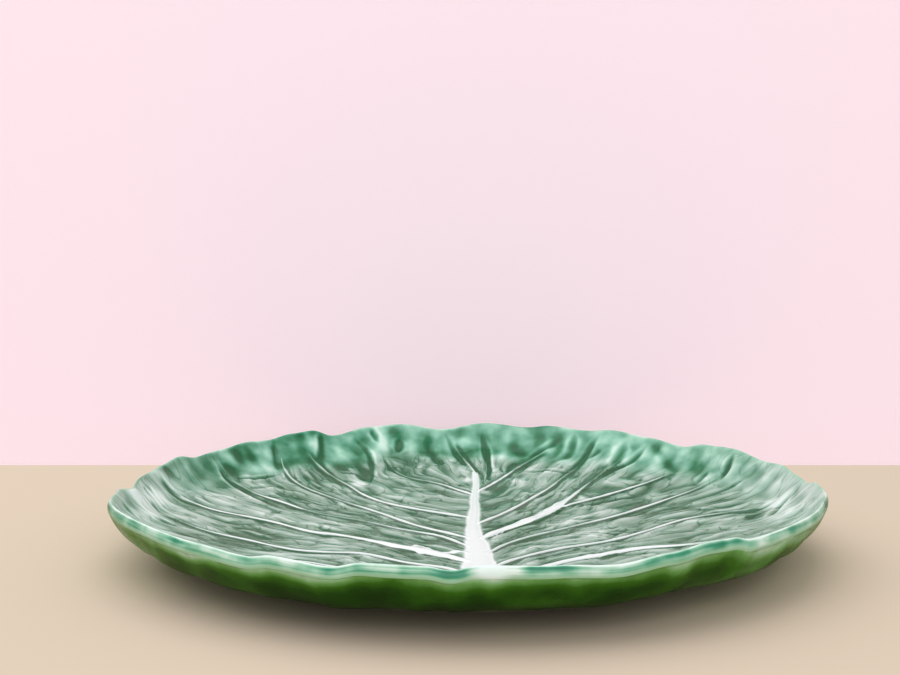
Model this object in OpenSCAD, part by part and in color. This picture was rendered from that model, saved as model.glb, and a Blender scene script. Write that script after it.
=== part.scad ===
// Round serving platter pressed in the shape of a cabbage leaf, in glazed earthenware.
// Sizes are in millimetres. The origin is the middle of the foot ring, on the table, +Z is up
// and the leaf's stalk points towards -Y.

/* [Rim] */
// Distance from the middle to the crest of the rim, between its ripples
crest_r = 157; // [152:0.5:162]
// Greatest rise or fall of a ripple
ripple_lift = 2.5; // [0:0.1:3]
// Unit of a ripple's push outwards or inwards
ripple_reach = 3; // [0:0.1:4]
// How far the rounded end of the lip stands out between its two edges
lip_bulge = 1.2; // [0.8:0.1:1.6]
// Turn outwards of the lip's end from upright
lip_lean_turn = 10; // [0:1:25]

/* [Dish] */
// Height of the face above the table at the middle
floor_h = 7.8; // [7.6:0.1:9]
// How far the dish has climbed where the flank starts
dish_rise = 10; // [8:0.2:12]
// Power of the dish's curve, where a higher one keeps the middle flatter
dish_power = 5; // [4:0.5:6]
// How far inside the crest the flank starts
flank_run = 11; // [8:0.5:15]
// How far the flank climbs on top of the dish's own climb
flank_rise = 8.3; // [6:0.1:11]

/* [Wall] */
// Thickness of the wall in the dish, clay and glaze together
wall_t = 5.6; // [5:0.1:5.8]
// Thickness of the wall over the shoulder, outside the foot ring
shoulder_t = 6.8; // [5.8:0.1:7.6]
// Thickness of the wall at the crest
lip_t = 4.7; // [3.6:0.1:5.4]
// Thickness of a coat of glaze
glaze_t = 0.4; // [0.3:0.05:0.6]
// How far inside the crest the thick shoulder above the foot ends
shoulder_w = 20; // [17:1:30]

/* [Foot ring] */
// Outside radius of the foot ring, as a share of the crest's radius
foot_out_share = 0.688; // [0.62:0.004:0.72]
// Width of the foot ring
foot_w = 8; // [6:0.5:12]
// Height at which the glaze stops on the outside of the foot ring
foot_edge_h = 0.6; // [0.5:0.1:1]
// Width of the bevels beside the standing edge
foot_bevel_w = 1.2; // [0.6:0.1:1.8]

/* [Midrib] */
// Width of the midrib at the stalk
midrib_stalk_w = 19; // [14:0.5:22]
// Width of the midrib at its far tip
midrib_tip_w = 2.4; // [1.6:0.1:3]
// Height of the midrib over the face
midrib_h = 1.5; // [0.8:0.1:1.8]

/* [Side veins] */
// Width of a side vein where it leaves the midrib
vein_w = 3.2; // [2.4:0.1:3.6]
// Width of a side vein at its end
vein_tip_w = 1.4; // [1:0.1:2]
// Height of a side vein over the face where it leaves the midrib
vein_h = 1; // [0.6:0.1:1.4]
// Height of a side vein at its end
vein_tip_h = 0.5; // [0.3:0.1:0.8]
// Width that the thick white veins have at their widest
thick_vein_w = 6; // [4:0.5:7]

/* [Hidden] */
left_names = [for (i = [1:7]) str("left_vein_", i)];
right_names = [for (i = [1:8]) str("right_vein_", i)];

flank_r = crest_r - flank_run;
shoulder_r = crest_r - shoulder_w;
foot_out_r = crest_r * foot_out_share;
foot_in_r = foot_out_r - foot_w;

// Gap left between the clay and a coat or the foot ring
seat_gap = 0.05;
// Gap between the foot ring's sides and the glaze that ends beside it
foot_gap = 0.1;
// Gap between the face and the underside of a vein
vein_gap = 0.2;
// Gap between the midrib and the end of a side vein that springs from it
spring_gap = 0.4;

// Steps round the leaf
steps = 120;
turn = 360;
half_turn = 180;

// Rows of the face, as shares of the crest's radius
face_row_shares = [0, 0.14, 0.28, 0.42, 0.54, 0.64, 0.72, 0.79, 0.85, 0.89, 0.925, 0.96, 1];
// Rows of the underside beyond the shoulder, as shares of the way from shoulder to crest
back_row_shares = [1, 0.72, 0.48, 0.24, 0];
// Rows inside the foot ring, as shares of its inside radius
recess_row_shares = [1, 0.75, 0.45, 0];
// Share of the crest's radius at which the ripples begin
ripple_start_share = 0.8;
// Width of the bend between dish and flank, as a share of the flank's run
bend_share = 0.5;
// Turn round the lip at its rows, from the face's edge to the underside's edge
lip_turns = [36, 72, 108, 144];
// Turn round the lip at which the face's glaze ends and the underside's starts
face_glaze_turn = 150;
back_glaze_turn = 156;

// Ripples of the rim: angle from +X, lift in shares of ripple_lift, push in shares of ripple_reach
ripple_shares = [
    [0, -0.8, -0.2], [6, -0.5, -0.3], [13, 0, 0], [19, -0.4, -0.2], [29, 0.4, 0.1],
    [36, 0.1, 0], [41.5, -1, -0.6], [50, -0.2, -0.1], [58.5, 0.5, 0.2], [64, 0, 0],
    [72, 0.5, 0.2], [76.7, 0, 0], [85.4, 0.7, 0.3], [94.5, -0.6, -0.3], [103.5, 0.7, 0.3],
    [110, 0.4, 0.1], [118, -0.9, -0.4], [122.3, 0.5, 0.3], [127, 0.3, 0.1], [133, -0.4, -0.2],
    [138, -0.2, 0], [145, -0.7, -0.5], [153, -1, -0.8], [157, -0.2, -0.2], [164, -0.6, -0.7],
    [169, -0.8, -1.1], [175, -0.6, -1.4], [183, -1, -1.8], [188.5, -0.2, -0.2], [199, 0, 0.8],
    [216, 0, 0.2], [230, -0.3, 0.2], [239, -0.8, 0.2], [243, -0.2, 0.2], [251.5, -0.8, 0.3],
    [256, 0, 0], [264, -0.1, 0], [267.3, -0.6, 0.1], [271, 0.1, 0], [281, -0.2, 0],
    [289, -0.6, 0.1], [297, 0.2, 0], [304, 0.8, -0.3], [308.5, 0.7, -0.3], [312, 0, 0.1],
    [321, 0, 0], [338, 0, 0.4], [349, 0, 0.7], [357, 0, 0.4], [360, -0.8, -0.2]
];

// Places on the face, as shares of the crest's radius. The midrib runs from stalk to tip.
midrib_shares = [
    [0.03, -0.95], [0.03, -0.91], [0.03, -0.84], [0.03, -0.7], [0.03, -0.55], [0.03, -0.4],
    [0.03, -0.25], [0.02, -0.08], [0.02, 0.08], [0.03, 0.25], [0.03, 0.42], [0.04, 0.58],
    [0.04, 0.74]
];
// Width of the midrib along its length, as shares of the way from its tip's to its stalk's
midrib_width_shares = [1, 0.96, 0.88, 0.72, 0.58, 0.46, 0.27, 0.18, 0.14, 0.09, 0.06, 0.03, 0];

// Side veins on the left, from the stalk side to the tip side
left_shares = [
    [[-0.03, -0.81], [-0.1, -0.72], [-0.19, -0.62], [-0.28, -0.54], [-0.36, -0.47],
     [-0.43, -0.43], [-0.52, -0.42], [-0.62, -0.43], [-0.72, -0.42]],
    [[0, -0.55], [-0.06, -0.47], [-0.15, -0.43], [-0.22, -0.37], [-0.29, -0.31],
     [-0.38, -0.31], [-0.46, -0.3], [-0.53, -0.26], [-0.61, -0.2], [-0.7, -0.16],
     [-0.79, -0.11], [-0.87, -0.04], [-0.93, 0]],
    [[0, -0.4], [-0.06, -0.34], [-0.12, -0.28], [-0.2, -0.23], [-0.28, -0.16],
     [-0.36, -0.1], [-0.45, -0.07], [-0.52, 0], [-0.59, 0.06], [-0.68, 0.1],
     [-0.77, 0.12], [-0.84, 0.16], [-0.91, 0.19]],
    [[0, -0.23], [-0.07, -0.11], [-0.14, -0.06], [-0.2, -0.02], [-0.27, 0.05],
     [-0.34, 0.11], [-0.43, 0.16], [-0.51, 0.23], [-0.58, 0.31], [-0.66, 0.36],
     [-0.73, 0.42], [-0.79, 0.48], [-0.83, 0.51]],
    [[0, -0.13], [-0.05, -0.08], [-0.13, 0], [-0.19, 0.08], [-0.26, 0.19],
     [-0.33, 0.28], [-0.4, 0.36], [-0.47, 0.44], [-0.53, 0.5], [-0.58, 0.57],
     [-0.61, 0.64], [-0.63, 0.7]],
    [[0, 0.14], [-0.06, 0.18], [-0.14, 0.24], [-0.22, 0.3], [-0.29, 0.38],
     [-0.34, 0.46], [-0.38, 0.55], [-0.44, 0.63], [-0.49, 0.7], [-0.54, 0.77]],
    [[0.02, 0.47], [-0.03, 0.54], [-0.07, 0.6], [-0.12, 0.64], [-0.18, 0.67],
     [-0.23, 0.72], [-0.26, 0.79], [-0.28, 0.86]]
];

// Side veins on the right, from the stalk side to the tip side
right_shares = [
    [[0.08, -0.84], [0.16, -0.74], [0.27, -0.63], [0.38, -0.56], [0.5, -0.53],
     [0.61, -0.51], [0.71, -0.5]],
    [[0.07, -0.64], [0.13, -0.54], [0.2, -0.46], [0.27, -0.39], [0.34, -0.35],
     [0.41, -0.3], [0.49, -0.26], [0.58, -0.26], [0.67, -0.25], [0.76, -0.21]],
    [[0.06, -0.47], [0.12, -0.38], [0.2, -0.3], [0.28, -0.24], [0.36, -0.2],
     [0.43, -0.15], [0.49, -0.09], [0.56, -0.02], [0.63, 0.05], [0.7, 0.08],
     [0.78, 0.08], [0.86, 0.06], [0.92, 0.07]],
    [[0.05, -0.32], [0.1, -0.21], [0.18, -0.11], [0.26, -0.04], [0.33, 0.03],
     [0.4, 0.09], [0.48, 0.17], [0.56, 0.25], [0.64, 0.32], [0.72, 0.37],
     [0.8, 0.41], [0.86, 0.44]],
    [[0.325, 0.3], [0.37, 0.345], [0.44, 0.41], [0.53, 0.48], [0.62, 0.53], [0.7, 0.58]],
    [[0.04, -0.14], [0.1, -0.03], [0.17, 0.06], [0.23, 0.16], [0.28, 0.27],
     [0.34, 0.41], [0.4, 0.55], [0.46, 0.65], [0.51, 0.72], [0.57, 0.77]],
    [[0.04, 0.06], [0.1, 0.16], [0.16, 0.28], [0.22, 0.42], [0.28, 0.54],
     [0.33, 0.65], [0.38, 0.73], [0.42, 0.8], [0.46, 0.85]],
    [[0.05, 0.52], [0.09, 0.6], [0.14, 0.7], [0.19, 0.79], [0.25, 0.85], [0.32, 0.89]]
];
// Shares of the thick white veins' extra width that each side's veins take
left_thick_shares = [0, 0, 1, 0, 0, 0, 0];
right_thick_shares = [0, 0.6, 0, 0, 0, 1, 0, 0];
// 1 for a right vein that springs from the midrib and 0 for one that springs from another vein
right_spring_shares = [1, 1, 1, 1, 0, 1, 1, 1];
// Extra width of a thick vein along its length, as shares of the way to thick_vein_w
thick_shares = [0.2, 0.6, 0.9, 1, 0.7, 0.3, 0.1, 0];

// The ribs that carry the midrib up to the far rim
tip_left_shares = [[0.03, 0.78], [0.01, 0.84], [-0.01, 0.9], [-0.04, 0.95]];
tip_right_shares = [[0.07, 0.7], [0.08, 0.78], [0.08, 0.86], [0.08, 0.94]];

// A rib's section: across in shares of its half width, up in shares of its height. It goes over
// the top from edge to edge and back along the underside.
rib_section_shares =
    [[-1, 0], [-0.55, 0.8], [0, 1], [0.55, 0.8], [1, 0], [0.55, 0], [0, 0], [-0.55, 0]];

clay_green = "#9db89a";
face_green = "#5f9c7c";
back_green = "#3f6b1f";
bare_clay = "#e6ded0";
vein_white = "#eef3f1";
rib_green = "#4e8d6d";

// The face's curve: a dish of the given power, then the flank's own climb over a soft bend
function dish_z(r) = floor_h + dish_rise * pow(r / flank_r, dish_power);
function dish_slope(r) = dish_power * dish_rise / flank_r * pow(r / flank_r, dish_power - 1);
function bend(t) = (t + sqrt(t * t + bend_share * bend_share)) / 2;
function bend_slope(t) = (1 + t / sqrt(t * t + bend_share * bend_share)) / 2;
function face_z(r) = dish_z(r) + flank_rise * bend((r - flank_r) / flank_run) / bend(1);
function face_slope(r) =
    dish_slope(r) + flank_rise / flank_run * bend_slope((r - flank_r) / flank_run) / bend(1);
rim_h = face_z(crest_r);

// Share of the ripples felt at a radius, rising smoothly from nothing to one at the crest
function ripple_share(r) =
    let(t = max(0, min(1, (r / crest_r - ripple_start_share) / (1 - ripple_start_share))))
    t * t * (3 - 2 * t);

// Ripple table read at an angle, smoothly between its rows
function ripple_at(a, row = 0) =
    ripple_shares[row + 1][0] > a
        ? let(low = ripple_shares[row], high = ripple_shares[row + 1],
              t = (1 - cos(half_turn * (a - low[0]) / (high[0] - low[0]))) / 2)
          [low[1] + (high[1] - low[1]) * t, low[2] + (high[2] - low[2]) * t]
        : ripple_at(a, row + 1);
ripples = [for (j = [0:steps - 1]) ripple_at(turn * j / steps)];

// The way across the wall: square to the face in the dish, and turned to the lip's lean from the
// flank's start to the crest
lip_slope = tan(lip_lean_turn);
function flank_share(r) = max(0, (r - flank_r) / flank_run);
function wall_slope(r) = face_slope(r) + (lip_slope - face_slope(r)) * flank_share(r);
// Thickness of the wall beyond the shoulder
function wall_at(r) = shoulder_t + (lip_t - shoulder_t) * flank_share(r);

// Point of the wall's section at a radius on the face and a depth below it: radius, height
// and share of the ripples
function wall_point(r, depth) =
    let(k = wall_slope(r), n = sqrt(1 + k * k))
    [r + depth * k / n, face_z(r) - depth / n, ripple_share(r)];

// Point of the lip's rounded end, a turn round from the face's edge, set in by a depth
function lip_point(a, depth) =
    let(k = lip_slope, n = sqrt(1 + k * k),
        down = lip_t / 2 - (lip_t / 2 - depth) * cos(a), out = (lip_bulge - depth) * sin(a))
    [crest_r + (down * k + out) / n, rim_h + (out * k - down) / n, 1];

face_rows = [for (s = face_row_shares) s * crest_r];
back_rows = [for (s = back_row_shares) shoulder_r + s * (crest_r - shoulder_r)];
recess_rows = [for (s = recess_row_shares) s * foot_in_r];
function recess_z(r) = face_z(r) - wall_t;
function backwards(list) = [for (i = [len(list) - 1:-1:0]) list[i]];

// One ring of points round the leaf for a point of the section
function ring(p) =
    [for (j = [0:steps - 1])
        let(r = p[0] + ripple_reach * p[2] * ripples[j][1])
        [r * cos(turn * j / steps), r * sin(turn * j / steps),
         p[1] + ripple_lift * p[2] * ripples[j][0]]];
// Two triangles for each quad between two rings. On the way back along a coat's inside they are
// cut across the other way, so that they match the wall that lies under them.
function quad_faces(low, high, first, inside) =
    [for (j = [0:steps - 1])
        let(k = (j + 1) % steps, a = first + low * steps, b = first + high * steps)
        each inside
            ? [[a + j, a + k, b + j], [a + k, b + k, b + j]]
            : [[a + j, a + k, b + k], [a + j, b + k, b + j]]];

// Solid turned from a section that starts and ends on the axis, with its outside rows first
module turned_shell(section, outside) {
    rings = len(section) - 2;
    last = rings * steps + 1;
    points = concat([[0, 0, section[0][1]]],
        [for (i = [1:rings]) each ring(section[i])],
        [[0, 0, section[rings + 1][1]]]);
    faces = concat(
        [for (j = [0:steps - 1]) [0, 1 + (j + 1) % steps, 1 + j]],
        [for (i = [0:rings - 2]) each quad_faces(i, i + 1, 1, i + 2 > outside)],
        [for (j = [0:steps - 1]) [last, last - steps + j, last - steps + (j + 1) % steps]]);
    polyhedron(points, faces);
}

// Solid turned from a closed section that stays off the axis, with its outside rows first
module turned_band(section, outside) {
    points = [for (p = section) each ring(p)];
    faces = [for (i = [0:len(section) - 1])
        each quad_faces(i, (i + 1) % len(section), 0, i + 1 > outside)];
    polyhedron(points, faces);
}

clay_depth = glaze_t + seat_gap;

module leaf_body() {
    section = concat(
        [for (r = face_rows) wall_point(r, clay_depth)],
        [for (a = lip_turns) lip_point(a, clay_depth)],
        [for (r = back_rows) wall_point(r, wall_at(r) - clay_depth)],
        [[foot_out_r, foot_edge_h + clay_depth, 0]],
        [for (r = recess_rows) [r, recess_z(r) + clay_depth, 0]]);
    color(clay_green) turned_shell(section, len(section));
}

module foot_ring() {
    color(bare_clay) rotate_extrude($fn = steps) polygon([
        [foot_in_r + foot_bevel_w, 0],
        [foot_out_r - foot_bevel_w, 0],
        [foot_out_r, foot_edge_h],
        [foot_out_r, foot_edge_h + glaze_t],
        [foot_in_r, recess_z(foot_in_r) + glaze_t],
        [foot_in_r, foot_bevel_w]
    ]);
}

module face_glaze() {
    lip_rows = concat(lip_turns, [face_glaze_turn]);
    outside = concat(
        [for (r = face_rows) wall_point(r, 0)],
        [for (a = lip_rows) lip_point(a, 0)]);
    color(face_green) turned_shell(concat(outside,
        [for (a = backwards(lip_rows)) lip_point(a, glaze_t)],
        [for (r = backwards(face_rows)) wall_point(r, glaze_t)]), len(outside));
}

module back_glaze() {
    outside = concat(
        [lip_point(back_glaze_turn, 0)],
        [for (r = back_rows) wall_point(r, wall_at(r))],
        [[foot_out_r + foot_gap, foot_edge_h, 0]]);
    color(back_green) turned_band(concat(outside,
        [[foot_out_r + foot_gap, foot_edge_h + glaze_t, 0]],
        [for (r = backwards(back_rows)) wall_point(r, wall_at(r) - glaze_t)],
        [lip_point(back_glaze_turn, glaze_t)]), len(outside));
}

module recess_glaze() {
    inner_rows = [for (s = recess_row_shares) s * (foot_in_r - foot_gap)];
    color(back_green) rotate_extrude($fn = steps) polygon(concat(
        [for (r = inner_rows) [r, recess_z(r)]],
        [for (r = backwards(inner_rows)) [r, recess_z(r) + glaze_t]]));
}

// Height of the faceted face at a place, ripples and all
function ripple_near(a) =
    let(j = floor(a * steps / turn), t = a * steps / turn - j)
    ripples[j % steps] * (1 - t) + ripples[(j + 1) % steps] * t;
function face_at(p) =
    let(a = (atan2(p[1], p[0]) + turn) % turn, w = ripple_near(a))
    lookup(norm(p), [for (r = face_rows) [r + ripple_reach * ripple_share(r) * w[1],
        face_z(r) + ripple_lift * ripple_share(r) * w[0]]]);

function unit(v) = v / norm(v);
function along(route, i) =
    unit(route[min(i + 1, len(route) - 1)] - route[max(i - 1, 0)]);

// Low ridge laid along a route on the face, with a width and a height at each place
module ridge(route, widths, heights) {
    n = len(rib_section_shares);
    count = len(route);
    points = [for (i = [0:count - 1])
        let(side = [-along(route, i)[1], along(route, i)[0]])
        for (s = rib_section_shares)
            let(p = route[i] + side * s[0] * widths[i] / 2)
            [p[0], p[1], face_at(p) + vein_gap + s[1] * heights[i]]];
    walls = [for (i = [0:count - 2]) for (k = [0:n - 1])
        let(m = (k + 1) % n, a = i * n, b = a + n)
        each [[a + k, a + m, b + m], [a + k, b + m, b + k]]];
    half = n / 2;
    cap = concat([[0, 1, n - 1]],
        [for (k = [1:half - 2]) each [[k, k + 1, n - k - 1], [k, n - k - 1, n - k]]],
        [[half - 1, half, half + 1]]);
    start = [for (f = cap) backwards(f)];
    end = [for (f = cap) [for (k = f) (count - 1) * n + k]];
    polyhedron(points, concat(walls, start, end));
}

function taper(i, count, from, to) = from + (to - from) * i / (count - 1);

// The midrib's place across and its width, by its place along
midrib_widths = [for (s = midrib_width_shares) midrib_tip_w + (midrib_stalk_w - midrib_tip_w) * s];
midrib_line_shares = [for (s = midrib_shares) [s[1], s[0]]];
midrib_width_at = [for (i = [0:len(midrib_shares) - 1]) [midrib_shares[i][1], midrib_widths[i]]];

// Where a side vein starts beside the midrib: -1 on the left, 1 on the right
function spring_x(y, side) =
    lookup(y, midrib_line_shares) * crest_r
        + side * ((lookup(y, midrib_width_at) + vein_w) / 2 + spring_gap);

// Side vein along a route, with its share of the thick veins' extra width. A side of 0 leaves its
// start where the route has it.
module side_vein(shares, side, thick) {
    count = len(shares);
    route = [for (i = [0:count - 1])
        i == 0 && side != 0
            ? [spring_x(shares[0][1], side), shares[0][1] * crest_r]
            : shares[i] * crest_r];
    widths = [for (i = [0:count - 1])
        let(w = taper(i, count, vein_w, vein_tip_w))
        i < len(thick_shares) ? w + (thick_vein_w - w) * thick * thick_shares[i] : w];
    heights = [for (i = [0:count - 1]) taper(i, count, vein_h, vein_tip_h)];
    color(thick > 0 ? vein_white : face_green) ridge(route, widths, heights);
}

module midrib() {
    count = len(midrib_shares);
    color(vein_white) ridge([for (s = midrib_shares) s * crest_r], midrib_widths,
        [for (i = [0:count - 1]) taper(i, count, midrib_h, vein_tip_h)]);
}

module left_vein(i) {
    side_vein(left_shares[i - 1], -1, left_thick_shares[i - 1]);
}

module right_vein(i) {
    side_vein(right_shares[i - 1], right_spring_shares[i - 1], right_thick_shares[i - 1]);
}

module tip_vein(shares) {
    count = len(shares);
    color(rib_green) ridge([for (s = shares) s * crest_r],
        [for (i = [0:count - 1]) taper(i, count, vein_tip_w, vein_w)],
        [for (i = [0:count - 1]) taper(i, count, vein_tip_h, vein_h)]);
}

module tip_vein_left() { tip_vein(tip_left_shares); }
module tip_vein_right() { tip_vein(tip_right_shares); }

leaf_body();
foot_ring();
face_glaze();
back_glaze();
recess_glaze();
midrib();
for (i = [1:len(left_names)]) left_vein(i);
for (i = [1:len(right_names)]) right_vein(i);
tip_vein_left();
tip_vein_right();
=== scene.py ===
"""Round serving platter pressed in the shape of a cabbage leaf, in glazed earthenware.

Lengths are in millimetres until a mesh is made. The origin is the middle of the foot ring on
the table, +Z is up and the leaf's stalk points towards -Y, at the camera.
"""
import math

import bpy
import numpy as np
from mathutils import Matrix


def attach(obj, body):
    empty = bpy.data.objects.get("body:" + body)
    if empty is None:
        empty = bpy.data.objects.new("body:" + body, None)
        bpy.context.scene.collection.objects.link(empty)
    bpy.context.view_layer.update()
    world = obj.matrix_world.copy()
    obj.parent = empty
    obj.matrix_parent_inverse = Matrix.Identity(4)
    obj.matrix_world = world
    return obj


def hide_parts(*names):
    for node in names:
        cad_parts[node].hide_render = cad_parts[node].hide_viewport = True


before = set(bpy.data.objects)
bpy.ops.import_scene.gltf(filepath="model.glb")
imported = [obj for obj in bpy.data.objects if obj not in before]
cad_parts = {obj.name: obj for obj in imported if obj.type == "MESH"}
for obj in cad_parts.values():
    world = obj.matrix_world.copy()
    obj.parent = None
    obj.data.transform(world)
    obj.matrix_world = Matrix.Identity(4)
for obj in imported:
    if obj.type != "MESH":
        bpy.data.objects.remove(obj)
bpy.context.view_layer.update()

MM = 0.001

# ---------------------------------------------------------------- camera, floor and light

scene = bpy.context.scene
scene.view_settings.view_transform = "Standard"

camera_data = bpy.data.cameras.new("camera")
camera_data.lens = 55.0
camera_data.sensor_width = 36.0
camera_data.clip_start = 0.01
camera_data.clip_end = 50.0
camera = bpy.data.objects.new("camera", camera_data)
camera.location = (-7.7 * MM, -624.0 * MM, 152.0 * MM)
camera.rotation_euler = (math.radians(84.85), 0.0, 0.0)
scene.collection.objects.link(camera)
scene.camera = camera


def linear(hex_colour):
    """The linear red, green, blue and alpha of an sRGB hex colour: a dark channel over 12.92,
    any other as (channel + 0.055) / 1.055 to the power of 2.4."""
    parts = [int(hex_colour[i:i + 2], 16) / 255.0 for i in (1, 3, 5)]
    return tuple(p / 12.92 if p <= 0.04045 else ((p + 0.055) / 1.055) ** 2.4
                 for p in parts) + (1.0,)


def add(tree, kind, inputs=None, output=0, stops=(), **settings):
    """Adds a node and gives one of its outputs. Inputs are sockets, numbers or hex colours,
    settings are its properties, and stops are a colour ramp's places and hex colours."""
    node = tree.nodes.new("ShaderNode" + kind)
    for name, value in settings.items():
        setattr(node, name, value)
    for name, value in (inputs or {}).items():
        if isinstance(value, bpy.types.NodeSocket):
            tree.links.new(value, node.inputs[name])
        else:
            node.inputs[name].default_value = linear(value) if isinstance(value, str) else value
    if stops:
        marks = node.color_ramp.elements
        while len(marks) < len(stops):
            marks.new(0.5)
        for mark, (place, colour) in zip(marks, stops):
            mark.position, mark.color = place, linear(colour)
    return node.outputs[output] if node.outputs else None


def new_material(name):
    """An empty node material and its tree."""
    material = bpy.data.materials.new(name)
    material.use_nodes = True
    material.node_tree.nodes.clear()
    return material, material.node_tree


def stage_material(name, hex_colour, shaded_reflection, glow=0.0):
    """Matt paint that the camera sees only from its front, so that no view is blocked, and that
    the glaze reflects in a darker colour, a painted shade. One that glows lets the lamps' light
    through."""
    material, tree = new_material(name)
    camera_ray = add(tree, "LightPath", output="Is Camera Ray")
    glossy_ray = add(tree, "LightPath", output="Is Glossy Ray")
    paint = add(tree, "BsdfDiffuse", {"Color": hex_colour})
    light = add(tree, "Emission", {"Color": hex_colour, "Strength": glow})
    lit = add(tree, "AddShader", {0: paint, 1: light})
    dim = add(tree, "BsdfDiffuse", {"Color": shaded_reflection})
    shown = add(tree, "MixShader", {0: glossy_ray, 1: lit, 2: dim})
    back = add(tree, "NewGeometry", output="Backfacing")
    hide = add(tree, "Math", {0: back, 1: camera_ray}, operation="MULTIPLY")
    if glow:
        seen = add(tree, "Math", {0: camera_ray, 1: glossy_ray}, operation="MAXIMUM")
        passed = add(tree, "Math", {0: 1.0, 1: seen}, operation="SUBTRACT")
        hide = add(tree, "Math", {0: hide, 1: passed}, operation="MAXIMUM")
    clear = add(tree, "BsdfTransparent")
    mix = add(tree, "MixShader", {0: hide, 1: shown, 2: clear})
    add(tree, "OutputMaterial", {"Surface": mix})
    return material


def stage_plane(name, corners, material):
    """A flat four-cornered piece of the stage, its corners in metres."""
    mesh = bpy.data.meshes.new(name)
    mesh.from_pydata(corners, [], [(0, 1, 2, 3)])
    mesh.materials.append(material)
    plane = bpy.data.objects.new(name, mesh)
    scene.collection.objects.link(plane)


# The stage in metres: a table of warm pale paint, and a wall of pinkish white behind it
FLOOR_HALF = 3.0
BOARD_HALF = 0.75
BOARD_Y = 0.2
BOARD_TOP = 0.34
# the glaze reflects the floor and the backdrop in darker colours, painted shade
stage_plane("floor", [(-FLOOR_HALF, -FLOOR_HALF, 0), (FLOOR_HALF, -FLOOR_HALF, 0),
                      (FLOOR_HALF, FLOOR_HALF, 0), (-FLOOR_HALF, FLOOR_HALF, 0)],
            stage_material("pale_floor_paint", "#d2c0ad", "#857a62"))
stage_plane("backdrop", [(-BOARD_HALF, BOARD_Y, 0), (BOARD_HALF, BOARD_Y, 0),
                         (BOARD_HALF, BOARD_Y, BOARD_TOP), (-BOARD_HALF, BOARD_Y, BOARD_TOP)],
            stage_material("pale_backdrop_paint", "#f3e0ec", "#ddd0d3", glow=0.18))

world = bpy.data.worlds.new("soft_room")
world.use_nodes = True
scene.world = world
sky = world.node_tree
sky.nodes.clear()
# an even white room: the light that it gives, what the glaze reflects, and what the camera sees
sky_light, sky_gloss, sky_seen = (
    add(sky, "Background", {"Color": colour, "Strength": strength})
    for colour, strength in (("#ffffff", 0.75), ("#ffffff", 0.6), ("#f3e8ea", 1.0)))
sky_unseen = add(sky, "MixShader", {
    0: add(sky, "LightPath", output="Is Glossy Ray"), 1: sky_light, 2: sky_gloss})
sky_mix = add(sky, "MixShader", {
    0: add(sky, "LightPath", output="Is Camera Ray"), 1: sky_unseen, 2: sky_seen})
add(sky, "OutputWorld", {"Surface": sky_mix})


def softbox(name, place, aim, size, watts):
    """A square area lamp at a place in metres, turned to an aim: tilted by its way's angle off
    straight up, then turned round by its bearing."""
    data = bpy.data.lights.new(name, "AREA")
    data.shape = "SQUARE"
    data.size = size
    data.energy = watts
    lamp = bpy.data.objects.new(name, data)
    lamp.location = place
    away = np.array(place, float) - np.array(aim, float)
    flat = math.hypot(away[0], away[1])
    lamp.rotation_euler = (math.atan2(flat, away[2]), 0.0, math.atan2(away[0], -away[1]))
    scene.collection.objects.link(lamp)


# a window's soft light from above, a little left and behind, and a weak one from the front
softbox("softbox_above", (-0.5, 0.27, 1.42), (0, 0.1, 0), 2.4, 17.5)
softbox("softbox_front", (0.3, -1.6, 0.9), (0, 0.1, 0.1), 1.4, 6.2)

# ---------------------------------------------------------------- sizes

# They are the CAD source's, but that the lip bulges a tenth of a millimetre less and the
# foot's radii are rounded.
CREST_R = 157.0
RIPPLE_LIFT = 2.5
RIPPLE_REACH = 3.0
LIP_BULGE = 1.1
LIP_SLOPE = math.tan(math.radians(10.0))
FLOOR_H = 7.8
DISH_RISE = 10.0
DISH_POWER = 5
FLANK_RUN = 11.0
FLANK_RISE = 8.3
WALL_T = 5.6
SHOULDER_T = 6.8
LIP_T = 4.7
SHOULDER_W = 20.0
FOOT_OUT_R = 108.0
FOOT_IN_R = 100.0
FOOT_EDGE_H = 0.6
FOOT_BEVEL_W = 1.2
MIDRIB_STALK_W = 19.0
MIDRIB_TIP_W = 2.4
RIPPLE_START_SHARE = 0.8
BEND_SHARE = 0.5
FLANK_R = CREST_R - FLANK_RUN
SHOULDER_R = CREST_R - SHOULDER_W

# Sizes of the scene's own pieces
FACE_RINGS = 152                # rings of the face's fine grid, from the middle to the lip's end
FINE_START_R = 134.0            # radius from which they lie closer together
LIP_RUN = 14.0                  # a place this far beyond the crest is the lip's end
LIP_POWER = 0.8                 # of the sine in its round end: blunter than a circle's 1
LIP_END = math.radians(156.3)   # angle round the lip where the face's coat ends
LIP_SEAM = math.radians(156.0)  # and where the underside's coat begins, just under it
COAT = 1.5                      # depth of the face's coat, glaze and pressed relief together
BACK_COAT = 0.9                 # depth of the underside's coat
RECESS_COAT = 0.4               # depth of the recess's coat
HAIR = 0.05                     # gap between the clay and a coat
FACE_SEAM = 8                   # spokes of the face's edge to each of its coarse inside
BACK_SEAM = 4                   # and the same of the underside
FOOT_GLAZE_H = 1.6              # height at which the foot's outside goes under the glaze
FOOT_MID_R = (FOOT_IN_R + FOOT_OUT_R) / 2.0
FOOT_TOP_H = 2.4                # height of the foot's top, inside the clay
PER_MM = 1.0 / MM               # a pattern's scale is this over its grain in mm
NOISE_SLOPES = 256              # random slopes in the noise's table, a power of two
NOISE_GAIN = 1.6                # brings the noise to about -1 to 1
STREAM_BEYOND = 30.0            # mm by which the lines of the flow run on past their ends

# Radii of the coarse rings under the flank and the outer dish
RING_ROWS = np.array([155.5, 154, 152, 150, 148, 146, 144, 141, 138, 133, 126, 112])

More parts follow.
